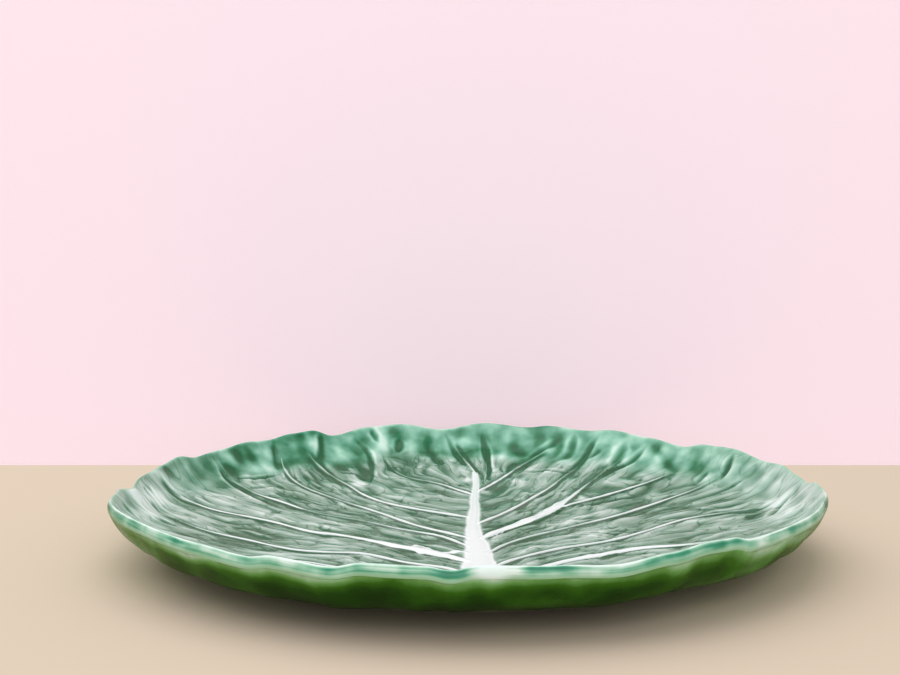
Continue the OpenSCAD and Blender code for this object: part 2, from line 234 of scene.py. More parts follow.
# Sizes of the relief pressed into the face, in mm, and places on it in shares of CREST_R
CALM_GAP = 0.4                  # distance from a vein without wrinkles
CALM_RUN = 2.6                  # and the further distance in which they come up
WIDE_GAP = 11.0                 # distance from a vein at which they wander half as much
WRINKLE_SINK = 0.24             # how far the wrinkles' middle lies under the smooth face
FLANK_START_SHARE = 0.82        # where the flank's lumps and flutes begin, and their rise
FLANK_RUN_SHARE = 0.12
BRIM_START_SHARE = 0.965        # where they end before the crest
BRIM_RUN_SHARE = 0.03
# The grooves beside the veins also carry painted shade in their glaze, strongest on the side
# towards the stalk, which faces the camera
GROOVE_GAP = 1.1                # from a vein's side to the middle of the groove beside it
GROOVE_HALF = 0.95
GROOVE_DEPTH = 0.45
GROOVE_FAR_SHARE = 0.4          # how much of it a vein's side away from the stalk has
GROOVE_REACH = 11.0             # how far from its line a vein's groove is worked out
BRANCH_REACH = 8.0              # and the wrinkles' calm beside the branch and the midrib
MIDRIB_REACH = 16.0
RIDGE_REACH = 6.0               # and the short white ridges
RIDGE_HALF = 1.3                # half width of such a ridge
RUN_OFF = 1.2                   # how far a vein's pale glaze runs down beside it
WET_LEFT, WET_RIGHT = 1.8, 1.2  # how far the midrib's white runs out to its left and right
EDGE_SHARE = 1.9                # a furrow's raised edge, in half widths of the furrow: its
EDGE_HALF_SHARE = 0.7           # place and its own half width
RELIEF_LOW = -1.1               # the relief's limits
RELIEF_HIGH = 1.4

# Layers of wrinkles that run with the flow: rise in mm, the band of noise that is a sharp one
# (0 for a soft layer), how many fit between two veins, length in mm, the noise's start
# across and along, and its seed. They are crests, small crests, creases and soft folds.
WRINKLES = [(0.6, 0.32, 3.3, 46.0, 40.0, 0.0, 3), (0.3, 0.4, 6.0, 30.0, 11.0, 0.0, 4),
            (-0.7, 0.22, 3.4, 40.0, 70.0, 9.0, 6), (0.42, 0, 1.9, 48.0, 9.0, 5.0, 5)]

# Bands of the lip's glaze, across it from 0 at the crest to 1 at its lower edge: middle and half
# width of the pale run-off with its painted highlight and of the pools, and start and run of the
# low edge's colour, a painted highlight
CREST_BAND = (0.1, 0.13)
POOL_BAND = (0.35, 0.25)
LOW_START, LOW_RUN = 0.55, 0.4
LIP_DEPTH_TOP = 1.1             # the lip's palest glaze depth
RUN_OUT_X = 6.6                 # middle and half width of the stalk's white over the crest
RUN_OUT_HALF = 6.0
DRIP_X, DRIP_HALF = 7.0, 5.0    # and of the pale drip under it

# Sizes of the ribs
MIDRIB_SLIM = 0.4               # what the midrib's half width is short of its table's
RIB_STEP = 0.8                  # mm between a rib's sections
RIB_BEFORE = 3.0                # mm by which it starts under the rib that it springs from
RIB_END_STEPS = 5.0             # sections over which its ends round off
RIB_CROWN_POWER = 2.4
RIB_UNDER = 0.4                 # mm of its root under its sunk edges

# Ripples of the rim: angle from +X, lift and push in shares of RIPPLE_LIFT and RIPPLE_REACH
RIPPLES = np.array([
    (0, -0.8, -0.2), (6, -0.5, -0.3), (13, 0, 0), (19, -0.4, -0.2), (29, 0.4, 0.1),
    (36, 0.1, 0), (41.5, -1, -0.6), (50, -0.2, -0.1), (58.5, 0.5, 0.2), (64, 0, 0),
    (72, 0.5, 0.2), (76.7, 0, 0), (85.4, 0.7, 0.3), (94.5, -0.6, -0.3), (103.5, 0.7, 0.3),
    (110, 0.4, 0.1), (118, -0.9, -0.4), (122.3, 0.5, 0.3), (127, 0.3, 0.1), (133, -0.4, -0.2),
    (138, -0.2, 0), (145, -0.7, -0.5), (153, -1, -0.8), (157, -0.2, -0.2), (164, -0.6, -0.7),
    (169, -0.8, -1.1), (175, -0.6, -1.4), (183, -1, -1.8), (188.5, -0.2, -0.2), (199, 0, 0.8),
    (216, 0, 0.2), (230, -0.3, 0.2), (239, -0.8, 0.2), (243, -0.2, 0.2), (251.5, -0.8, 0.3),
    (256, 0, 0), (264, -0.1, 0), (267.3, -0.6, 0.1), (271, 0.1, 0), (281, -0.2, 0),
    (289, -0.6, 0.1), (297, 0.2, 0), (304, 0.8, -0.3), (308.5, 0.7, -0.3), (312, 0, 0.1),
    (321, 0, 0), (338, 0, 0.4), (349, 0, 0.7), (357, 0, 0.4), (360, -0.8, -0.2)], float)

# ---------------------------------------------------------------- lines drawn on the leaf

# Raised veins from the midrib outwards, as shares of CREST_R. They are the CAD source's, but
# that the stalk is a little wider, and that the midrib, the vein that springs from another
# vein and both tip ribs begin a little earlier.
MIDRIB = [(0.03, -0.975), (0.03, -0.91), (0.03, -0.84), (0.03, -0.7), (0.03, -0.55),
          (0.03, -0.4), (0.03, -0.25), (0.02, -0.08), (0.02, 0.08), (0.03, 0.25),
          (0.03, 0.42), (0.04, 0.58), (0.04, 0.74)]
MIDRIB_WIDTH_SHARES = [1.05, 0.96, 0.88, 0.72, 0.58, 0.46, 0.27, 0.18, 0.14, 0.09, 0.06,
                       0.03, 0]
LEFT = [
    [(-0.03, -0.81), (-0.1, -0.72), (-0.19, -0.62), (-0.28, -0.54), (-0.36, -0.47),
     (-0.43, -0.43), (-0.52, -0.42), (-0.62, -0.43), (-0.72, -0.42)],
    [(0, -0.55), (-0.06, -0.47), (-0.15, -0.43), (-0.22, -0.37), (-0.29, -0.31),
     (-0.38, -0.31), (-0.46, -0.3), (-0.53, -0.26), (-0.61, -0.2), (-0.7, -0.16),
     (-0.79, -0.11), (-0.87, -0.04), (-0.93, 0)],
    [(0, -0.4), (-0.06, -0.34), (-0.12, -0.28), (-0.2, -0.23), (-0.28, -0.16),
     (-0.36, -0.1), (-0.45, -0.07), (-0.52, 0), (-0.59, 0.06), (-0.68, 0.1),
     (-0.77, 0.12), (-0.84, 0.16), (-0.91, 0.19)],
    [(0, -0.23), (-0.07, -0.11), (-0.14, -0.06), (-0.2, -0.02), (-0.27, 0.05),
     (-0.34, 0.11), (-0.43, 0.16), (-0.51, 0.23), (-0.58, 0.31), (-0.66, 0.36),
     (-0.73, 0.42), (-0.79, 0.48), (-0.83, 0.51)],
    [(0, -0.13), (-0.05, -0.08), (-0.13, 0), (-0.19, 0.08), (-0.26, 0.19),
     (-0.33, 0.28), (-0.4, 0.36), (-0.47, 0.44), (-0.53, 0.5), (-0.58, 0.57),
     (-0.61, 0.64), (-0.63, 0.7)],
    [(0, 0.14), (-0.06, 0.18), (-0.14, 0.24), (-0.22, 0.3), (-0.29, 0.38),
     (-0.34, 0.46), (-0.38, 0.55), (-0.44, 0.63), (-0.49, 0.7), (-0.54, 0.77)],
    [(0.02, 0.47), (-0.03, 0.54), (-0.07, 0.6), (-0.12, 0.64), (-0.18, 0.67),
     (-0.23, 0.72), (-0.26, 0.79), (-0.28, 0.86)]]
RIGHT = [
    [(0.08, -0.84), (0.16, -0.74), (0.27, -0.63), (0.38, -0.56), (0.5, -0.53),
     (0.61, -0.51), (0.71, -0.5)],
    [(0.07, -0.64), (0.13, -0.54), (0.2, -0.46), (0.27, -0.39), (0.34, -0.35),
     (0.41, -0.3), (0.49, -0.26), (0.58, -0.26), (0.67, -0.25), (0.76, -0.21)],
    [(0.06, -0.47), (0.12, -0.38), (0.2, -0.3), (0.28, -0.24), (0.36, -0.2),
     (0.43, -0.15), (0.49, -0.09), (0.56, -0.02), (0.63, 0.05), (0.7, 0.08),
     (0.78, 0.08), (0.86, 0.06), (0.92, 0.07)],
    [(0.05, -0.32), (0.1, -0.21), (0.18, -0.11), (0.26, -0.04), (0.33, 0.03),
     (0.4, 0.09), (0.48, 0.17), (0.56, 0.25), (0.64, 0.32), (0.72, 0.37),
     (0.8, 0.41), (0.86, 0.44)],
    [(0.3, 0.28), (0.36, 0.34), (0.44, 0.41), (0.53, 0.48), (0.62, 0.53), (0.7, 0.58)],
    [(0.04, -0.14), (0.1, -0.03), (0.17, 0.06), (0.23, 0.16), (0.28, 0.27),
     (0.34, 0.41), (0.4, 0.55), (0.46, 0.65), (0.51, 0.72), (0.57, 0.77)],
    [(0.04, 0.06), (0.1, 0.16), (0.16, 0.28), (0.22, 0.42), (0.28, 0.54),
     (0.33, 0.65), (0.38, 0.73), (0.42, 0.8), (0.46, 0.85)],
    [(0.05, 0.52), (0.09, 0.6), (0.14, 0.7), (0.19, 0.79), (0.25, 0.85), (0.32, 0.89)]]
TIP_LEFT = [(0.04, 0.72), (0.03, 0.78), (0.01, 0.84), (-0.01, 0.9), (-0.04, 0.95)]
TIP_RIGHT = [(0.07, 0.66), (0.08, 0.78), (0.08, 0.86), (0.08, 0.94)]
BRANCH = 4   # place in RIGHT of the vein that springs from another vein

# Lines between which the wrinkles flow, beyond the veins themselves
STALK_LEFT = [(0.0, -0.93), (-0.25, -0.88), (-0.5, -0.8), (-0.7, -0.66)]
STALK_RIGHT = [(0.06, -0.93), (0.3, -0.88), (0.55, -0.78), (0.75, -0.62)]
TIP_LINE = [(0.04, 0.6), (0.04, 0.75), (0.02, 0.86), (0.0, 1.0)]

# Whiteness of each vein's glaze and its extra half width in mm, at even places outwards
LEFT_WHITE = [
    [1, 1, 0.9, 0.8, 0.6, 0.3, 0.1], [1, 1, 1, 1, 1, 0.95, 0.9, 0.7, 0.4, 0.1, 0],
    [1, 1, 1, 1, 1, 1, 0.95, 0.9, 0.8, 0.6, 0.1],
    [0.7, 0.8, 0.7, 0.5, 0.4, 0.1, 0, 0.1, 0.9, 0.9, 0.1, 0, 0],
    [0.9, 1, 1, 1, 1, 0.9, 0.3, 0.3, 0.4, 0.45, 0.45, 0.3],
    [1, 1, 1, 1, 1, 0.9, 0.5, 0.2, 0.3, 0.1], [1, 0.9, 0.5, 0.3, 0.1, 0, 0, 0]]
RIGHT_WHITE = [
    [1, 1, 0.8, 0.6, 0.4, 0.2, 0], [0.8, 1, 1, 1, 1, 1, 0.9, 0.7, 0.3, 0],
    [1, 1, 1, 1, 1, 1, 1, 1, 0.9, 0.8, 0.3, 0.1, 0],
    [0.6, 0.6, 0.5, 0.4, 0.4, 0.5, 0.9, 1, 0.9, 0.5, 0.1, 0],
    [1, 1, 0.9, 0.8, 0.5, 0.1], [1, 1, 1, 1, 1, 0.9, 0.6, 0.2, 0, 0],
    [0.9, 0.9, 1, 1, 0.9, 0.5, 0.1, 0, 0], [0.9, 0.9, 0.8, 0.3, 0, 0]]
SWOLLEN = {
    "left_vein_3": [0.9, 1.6, 2.6, 1.4, 0.6, 0.3, 0.3, 0.2, 0.1, 0, 0, 0, 0],
    "right_vein_6": [0.4, 1.8, 2.2, 2.6, 2.3, 0.8, 0.2, 0, 0, 0],
    "right_vein_2": [0, 0.2, 0.6, 1, 1.3, 1.5, 1.3, 0.9, 0.3, 0]}

# Furrows pressed in the face, from the back forwards: depth in mm, half width in mm, and the
# side of their line with a raised edge (1 left of its direction, -1 right, 0 both, 2 none).
# A depth under nothing is a fine ridge.
FURROWS = [
    (0.9, 1.6, -1, [(-0.51, 0.87), (-0.5, 0.82), (-0.5, 0.77), (-0.5, 0.72)]),
    (0.9, 1.2, -1, [(-0.55, 0.78), (-0.51, 0.76), (-0.48, 0.71), (-0.45, 0.66), (-0.43, 0.62)]),
    (0.8, 1.7, 2, [(-0.66, 0.75), (-0.655, 0.71), (-0.64, 0.65), (-0.61, 0.58)]),
    (0.9, 1.5, 0, [(-0.85, 0.52), (-0.81, 0.5), (-0.79, 0.47), (-0.75, 0.42), (-0.7, 0.36),
                   (-0.66, 0.32), (-0.6, 0.27), (-0.54, 0.21)]),
    (0.9, 1.5, 1, [(-0.95, 0.21), (-0.92, 0.19), (-0.9, 0.18), (-0.87, 0.16), (-0.82, 0.13)]),
    (0.7, 1.3, 0, [(-0.76, 0.48), (-0.7, 0.51), (-0.67, 0.54), (-0.61, 0.6)]),
    (0.5, 1.4, 0, [(-0.71, 0.41), (-0.66, 0.44), (-0.61, 0.49)]),
    (0.6, 1.2, 0, [(-0.44, 0.69), (-0.39, 0.69), (-0.35, 0.67), (-0.32, 0.64)]),
    (1.0, 1.4, 1, [(-0.4, 0.9), (-0.37, 0.88), (-0.34, 0.86), (-0.33, 0.82), (-0.32, 0.75),
                   (-0.32, 0.66), (-0.32, 0.57)]),
    (0.9, 1.3, 2, [(-0.07, 0.99), (-0.05, 0.95), (-0.035, 0.92), (-0.02, 0.88), (0, 0.83),
                   (0.02, 0.79)]),
    (1.0, 1.5, 0, [(0.07, 0.99), (0.07, 0.95), (0.08, 0.91), (0.085, 0.83), (0.085, 0.75),
                   (0.08, 0.65)]),
    (0.7, 3.0, 2, [(-0.14, 0.97), (-0.13, 0.93), (-0.11, 0.88), (-0.08, 0.82), (-0.06, 0.76),
                   (-0.05, 0.71), (-0.03, 0.65)]),
    (0.7, 1.4, 0, [(0.35, 0.91), (0.31, 0.89), (0.27, 0.88), (0.24, 0.86), (0.21, 0.83)]),
    (0.6, 1.3, 0, [(0.38, 0.69), (0.33, 0.72), (0.28, 0.74), (0.23, 0.73), (0.16, 0.75)]),
    (0.9, 1.5, 0, [(0.49, 0.87), (0.46, 0.85), (0.43, 0.82), (0.41, 0.78), (0.38, 0.74),
                   (0.35, 0.68)]),
    (0.7, 1.2, 1, [(0.49, 0.815), (0.45, 0.8), (0.42, 0.78)]),
    (0.7, 1.9, 0, [(0.4, 0.91), (0.39, 0.88), (0.38, 0.85), (0.35, 0.82), (0.31, 0.8)]),
    (0.9, 1.5, 0, [(0.65, 0.75), (0.61, 0.73), (0.58, 0.715), (0.55, 0.7), (0.51, 0.685),
                   (0.48, 0.65), (0.46, 0.61)]),
    (0.9, 2.3, 0, [(0.57, 0.8), (0.55, 0.77), (0.53, 0.74), (0.5, 0.7)]),
    (0.9, 1.9, 2, [(0.64, 0.745), (0.67, 0.7), (0.685, 0.64), (0.7, 0.59), (0.71, 0.55)]),
    (0.7, 1.4, 0, [(0.8, 0.48), (0.77, 0.45), (0.74, 0.41)]),
    (0.8, 1.6, 0, [(0.88, 0.47), (0.86, 0.45), (0.85, 0.42), (0.81, 0.38)]),
    (0.7, 1.3, 1, [(0.89, 0.33), (0.84, 0.32), (0.8, 0.31), (0.75, 0.29)]),
    (0.9, 1.5, 0, [(0.97, 0.04), (0.93, 0.02), (0.9, -0.03), (0.85, -0.1)]),
    (0.7, 1.3, 0, [(0.95, 0.07), (0.9, 0.05), (0.86, 0.035), (0.8, 0.055), (0.75, 0.1)]),
    (-0.45, 1.2, 0, [(0.79, 0.13), (0.72, 0.17), (0.66, 0.17), (0.61, 0.16), (0.55, 0.14)]),
    (-0.35, 1.1, 0, [(0.44, -0.17), (0.4, -0.15), (0.35, -0.115), (0.27, -0.11), (0.2, -0.14)]),
    (0.6, 1.5, 0, [(0.58, 0.4), (0.5, 0.375), (0.4, 0.31), (0.33, 0.25)]),
    (0.6, 1.5, 0, [(0.42, 0.145), (0.37, 0.11), (0.32, 0.09), (0.25, 0.1)]),
    (0.6, 1.2, 0, [(0.52, -0.04), (0.44, -0.08), (0.38, -0.09), (0.31, -0.06)]),
    (0.6, 2.2, 1, [(0.18, 0.7), (0.14, 0.63), (0.12, 0.54), (0.09, 0.44), (0.06, 0.34)]),
    (0.6, 1.4, 0, [(-0.54, 0.335), (-0.49, 0.31), (-0.43, 0.285)]),
    (-0.5, 1.4, 0, [(-0.44, 0.01), (-0.38, -0.03), (-0.33, -0.07)]),
    (0.5, 1.4, 0, [(-0.79, 0.09), (-0.71, -0.01), (-0.65, -0.01), (-0.59, 0.05)]),
    (0.7, 1.2, 0, [(-0.98, -0.1), (-0.95, -0.11), (-0.91, -0.115), (-0.86, -0.13),
                   (-0.78, -0.18)]),
    (-0.4, 1.0, 0, [(-0.97, -0.02), (-0.94, -0.03), (-0.9, -0.05), (-0.87, -0.06)]),
    (-0.45, 1.1, 0, [(-0.97, 0.085), (-0.94, 0.08), (-0.91, 0.05), (-0.86, 0.005)]),
    (0.6, 1.1, 0, [(-0.97, 0.04), (-0.94, 0.03), (-0.9, 0.0), (-0.86, -0.035)]),
    (0.5, 1.1, 0, [(-0.97, -0.2), (-0.94, -0.215), (-0.9, -0.25)]),
    (0.8, 1.5, 0, [(-0.34, 0.94), (-0.32, 0.925), (-0.3, 0.9)]),
    (0.8, 1.8, 0, [(-0.23, 0.94), (-0.23, 0.91), (-0.24, 0.87)])]

# Short white ridges beside the thick vein on the left
WHITE_LINES = [[(0.01, -0.31), (-0.03, -0.3), (-0.06, -0.3), (-0.1, -0.285)],
               [(-0.09, -0.28), (-0.12, -0.245), (-0.16, -0.215)]]

# Places where the glaze lies thin and pale (over nothing) or pooled and dark, and their size
CLOUDS = [
    (0.01, 0.66, 4, 0.9), (-0.35, 0.57, 3.5, 0.8), (0.37, 0.385, 4, 0.7), (0.08, 0.5, 5, 0.5),
    (0.17, 0.4, 4, 0.4), (0.5, 0.74, 4, 0.4), (0.12, 0.93, 6, -0.2), (-0.64, 0.62, 4, 0.3),
    (-0.925, 0.26, 3, -0.7), (-0.765, 0.59, 3.5, -0.9), (-0.725, 0.63, 3, -0.6),
    (-0.78, 0.52, 3.5, -0.6), (-0.255, 0.945, 3, -0.8), (-0.255, 0.755, 3.5, -0.8),
    (-0.135, 0.95, 4.5, -0.6), (-0.58, 0.81, 4, -0.6), (-0.43, 0.74, 4, -0.6),
    (0.18, 0.92, 4, -0.6), (0.2, 0.89, 3, -0.6), (0.77, 0.56, 5, -0.4), (0.85, -0.02, 6, -0.4)]

# Where the glaze on the lip's front has gathered dark (under nothing) or run thin and pale:
# place from left to right in shares of CREST_R, half width, and change of depth
LIP_POOLS = [(-0.71, 0.025, -1.0), (-0.64, 0.04, 0.7), (-0.52, 0.035, -1.0), (-0.43, 0.05, 0.5),
             (-0.335, 0.05, -0.4), (-0.2, 0.08, 0.9), (-0.06, 0.04, -0.6), (0.15, 0.05, -1.0),
             (0.36, 0.07, 0.3), (0.62, 0.05, -0.4), (0.79, 0.07, -0.6), (0.965, 0.012, -1.4)]

# ---------------------------------------------------------------- the leaf's surface


def ring_points(radius, height, turn):
    """Points (radius times cos, radius times sin, height) at angles round the middle."""
    radius, height, turn = np.broadcast_arrays(radius, height, turn)
    return np.stack([radius * np.cos(turn), radius * np.sin(turn), height], -1)


def even_turns(count):
    """Angles of a count of even spokes: a full turn times 0, 1, 2 and so on over the count."""
    return 2 * np.pi * np.arange(count) / count


def unit(ways):
    """Directions made one long, by dividing them by their length."""
    return ways / np.maximum(np.linalg.norm(ways, axis=-1, keepdims=True), 1e-9)


def bell(x, middle, half):
    """1 at a middle, falling off it as e to the minus square of (x - middle) / half."""
    return np.exp(-((x - middle) / half) ** 2)


def soft_step(t):
    """0 below 0, 1 above 1, and 3t^2 - 2t^3 between."""
    t = np.clip(t, 0.0, 1.0)
    return t * t * (3.0 - 2.0 * t)


def bend(t):
    """(t + root of t squared plus BEND_SHARE squared) / 2: nothing before 0, t after it."""
    return (t + np.sqrt(t * t + BEND_SHARE ** 2)) / 2.0


def face_z(r):
    """Height of the face: FLOOR_H, plus DISH_RISE times the radius over FLANK_R to the power of
    DISH_POWER, plus FLANK_RISE times a soft bend from FLANK_R on that is 1 at CREST_R."""
    return (FLOOR_H + DISH_RISE * (r / FLANK_R) ** DISH_POWER
            + FLANK_RISE * bend((r - FLANK_R) / FLANK_RUN) / bend(1.0))


def face_slope(r):
    """Slope of face_z, from heights a twentieth of a millimetre either side."""
    return (face_z(r + 0.05) - face_z(r - 0.05)) / 0.1


def ripple(turn):
    """Lift and push of the rim at an angle in radians: half a cosine wave from each row of
    RIPPLES to the next."""
    angle = np.degrees(turn) % 360.0
    row = np.clip(np.searchsorted(RIPPLES[:, 0], angle, "right") - 1, 0, len(RIPPLES) - 2)
    low, high = RIPPLES[row], RIPPLES[row + 1]
    t = (1.0 - np.cos(np.pi * (angle - low[..., 0]) / (high[..., 0] - low[..., 0]))) / 2.0
    return low[..., 1] + (high[..., 1] - low[..., 1]) * t, \
        low[..., 2] + (high[..., 2] - low[..., 2]) * t


def ripple_share(r):
    """Share of the ripples felt at a radius: a soft step from RIPPLE_START_SHARE to 1."""
    return soft_step((r / CREST_R - RIPPLE_START_SHARE) / (1.0 - RIPPLE_START_SHARE))


def wall_slope(r):
    """Slope across the wall: the face's own, turned evenly to LIP_SLOPE up the flank."""
    share = np.maximum(0.0, (r - FLANK_R) / FLANK_RUN)
    return face_slope(r) + (LIP_SLOPE - face_slope(r)) * share


def wall_at(r):
    """Thickness of the wall beyond the shoulder: SHOULDER_T, then evenly to LIP_T up the
    flank."""
    share = np.maximum(0.0, (r - FLANK_R) / FLANK_RUN)
    return SHOULDER_T + (LIP_T - SHOULDER_T) * share


def face_point(r, turn, depth=0.0):
    """Point of the face at a radius and angle: out by the ripples' push, up by face_z and their
    lift, and set in by a depth square to wall_slope."""
    slope = wall_slope(r)
    length = np.sqrt(1.0 + slope * slope)
    lift, push = ripple(turn)
    share = ripple_share(r)
    out = r + depth * slope / length + RIPPLE_REACH * share * push
    return ring_points(out, face_z(r) - depth / length + RIPPLE_LIFT * share * lift, turn)


def lip_point(a, turn, depth=0.0):
    """Point of the lip's round end, an angle a round it from the crest and set in by a depth:
    half of LIP_T by 1 - cos a down, and LIP_BULGE by sin a to the power of LIP_POWER out,
    both leaning by LIP_SLOPE."""
    length = math.sqrt(1.0 + LIP_SLOPE ** 2)
    down = LIP_T / 2.0 - (LIP_T / 2.0 - depth) * np.cos(a)
    across = np.sign(np.sin(a)) * np.abs(np.sin(a)) ** LIP_POWER * (LIP_BULGE - depth)
    lift, push = ripple(turn)
    out = CREST_R + (down * LIP_SLOPE + across) / length + RIPPLE_REACH * push
    up = face_z(CREST_R) + (across * LIP_SLOPE - down) / length + RIPPLE_LIFT * lift
    return ring_points(out, up, turn)


def noise(x, y, seed):
    """Smooth noise from about -1 to 1: random slopes at whole places, blended by a quintic. A
    place over a number of mm gives a grain of that size, and an angle times a number gives
    that many grains to the radian."""
    rng = np.random.default_rng(seed)
    turns = rng.random(NOISE_SLOPES) * 2.0 * np.pi
    mixed = rng.permutation(NOISE_SLOPES)
    column, row = np.floor(x).astype(int), np.floor(y).astype(int)
    u, v = x - column, y - row
    last = NOISE_SLOPES - 1

    def corner(i, j):
        """What a corner's slope gives here: its direction times the way from the corner."""
        turn = turns[(mixed[(column + i) & last] + row + j) & last]
        return np.cos(turn) * (u - i) + np.sin(turn) * (v - j)

    fu, fv = (t ** 3 * (t * (t * 6.0 - 15.0) + 10.0) for t in (u, v))
    low = corner(0, 0) * (1.0 - fu) + corner(1, 0) * fu
    high = corner(0, 1) * (1.0 - fu) + corner(1, 1) * fu
    return NOISE_GAIN * (low * (1.0 - fv) + high * fv)


def smooth_line(shares, step=3.0, beyond=0.0, before=0.0):
    """A route's corners cut three times at a quarter of their sides, run on straight at its
    ends, in even steps of mm."""
    line = np.array(shares, float) * CREST_R
    for _ in range(3):
        near, far = 0.75 * line[:-1] + 0.25 * line[1:], 0.25 * line[:-1] + 0.75 * line[1:]
        cut = np.stack([near, far], 1).reshape(-1, 2)
        line = np.concatenate([line[:1], cut, line[-1:]])
    if beyond:
        line = np.concatenate([line, [line[-1] + unit(line[-1] - line[-3]) * beyond]])
    if before:
        line = np.concatenate([[line[0] + unit(line[0] - line[2]) * before], line])
    run = np.concatenate([[0.0], np.cumsum(np.linalg.norm(np.diff(line, axis=0), axis=1))])
    places = np.linspace(0.0, run[-1], max(3, int(run[-1] / step) + 1))
    return np.stack([np.interp(places, run, line[:, 0]), np.interp(places, run, line[:, 1])], -1)


def near_line(x, y, line):
    """Distance from places to a line in mm, positive on its left, and how far along in mm: to
    the nearest point on each of its straight pieces, and of these the nearest."""
    best = np.full(x.shape, np.inf)
    side = np.ones(x.shape)
    along = np.zeros(x.shape)
    run = 0.0
    for start, end in zip(line[:-1], line[1:]):
        way = end - start
        length = math.hypot(*way)
        px, py = x - start[0], y - start[1]
        t = np.clip((px * way[0] + py * way[1]) / length ** 2, 0.0, 1.0)
        gap = (px - t * way[0]) ** 2 + (py - t * way[1]) ** 2
        nearer = gap < best
        best[nearer] = gap[nearer]
        side[nearer] = np.sign(way[0] * py - way[1] * px)[nearer]
        along[nearer] = (run + t * length)[nearer]
        run += length
    return np.sqrt(best) * np.where(side == 0, 1, side), along


def around(x, y, line, reach):
    """The places within reach of a line's box, their distance to it, and their share along it:
    the mm along over its length."""
    low, high = line.min(0) - reach, line.max(0) + reach
    mask = (x > low[0]) & (x < high[0]) & (y > low[1]) & (y < high[1])
    distance, along = near_line(x[mask], y[mask], line)
    length = np.linalg.norm(np.diff(line, axis=0), axis=1).sum()
    return mask, distance, along / length


# The lines on each side of the midrib, from the stalk's to the tip's, run on past the rim
STREAMS = {side: [smooth_line(shares, beyond=STREAM_BEYOND) for shares in lines]
           for side, lines in (
               (-1, [STALK_LEFT] + LEFT + [TIP_LINE]),
               (1, [STALK_RIGHT] + RIGHT[:BRANCH] + RIGHT[BRANCH + 1:] + [TIP_LINE]))}


def stream(x, y):
    """Flow of the wrinkles: how many lines a place has passed with its share of the way to
    the next (its distance to the one over its distances to both), how far along them it
    lies, and its distance to the nearer of the two."""
    middle = np.interp(y, [p[1] * CREST_R for p in MIDRIB], [p[0] * CREST_R for p in MIDRIB])
    passed, along, gap = np.zeros(x.shape), np.zeros(x.shape), np.zeros(x.shape)
    for side, lines in STREAMS.items():
        mask = (x - middle) * side >= 0
        px, py = x[mask], y[mask]
        found = [near_line(px, py, line) for line in lines]
        count = sum((d * side > 0).astype(int) for d, _ in found)
        count = np.clip(count, 1, len(lines) - 1)
        gaps = np.abs(np.stack([d for d, _ in found]))
        runs = np.stack([a for _, a in found])
        column = np.arange(len(px))
        below, above = gaps[count - 1, column], gaps[count, column]
        share = below / (below + above + 1e-6)
        passed[mask] = side * (count - 1 + share)
        along[mask] = runs[count - 1, column] * (1 - share) + runs[count, column] * share
        gap[mask] = np.minimum(below, above)
    return passed, along, gap


def along_table(values, count):
    """Values at even places, read at a number of places on straight lines between them."""
    return np.interp(np.linspace(0, 1, count), np.linspace(0, 1, len(values)), values)


def rib_sizes(node, white, count):
    """Half width, height and whiteness of a vein along its length in mm: thinner outwards,
    uneven by two sine waves, wider and higher where it is white or swollen."""
    t = np.linspace(0.0, 1.0, count)
    extra = along_table(SWOLLEN.get(node, [0, 0]), count)
    pale = along_table(white, count)
    uneven = 0.16 * np.sin(t * 31.0 + len(node)) + 0.1 * np.sin(t * 67.0 + 2.0)
    half = 0.62 - 0.2 * t + 0.22 * pale + 0.6 * uneven + extra
    high = 0.28 + (0.3 + 0.5 * uneven) * pale + 0.1 * extra
    return half, high * (1.0 - 0.4 * t), pale


# Each vein's piece, node, whiteness and route
VEINS = [("rib_%s_%d" % (side, i + 1), "%s_vein_%d" % (side, i + 1), white, route)
         for side, whites, routes in (("left", LEFT_WHITE, LEFT), ("right", RIGHT_WHITE, RIGHT))
         for i, (white, route) in enumerate(zip(whites, routes))]
VEINS += [("rib_tip_left", "tip_vein_left", [0.5, 0.5, 0.3, 0.1, 0], TIP_LEFT),
          ("rib_tip_right", "tip_vein_right", [0.2, 0.2, 0.1, 0], TIP_RIGHT)]


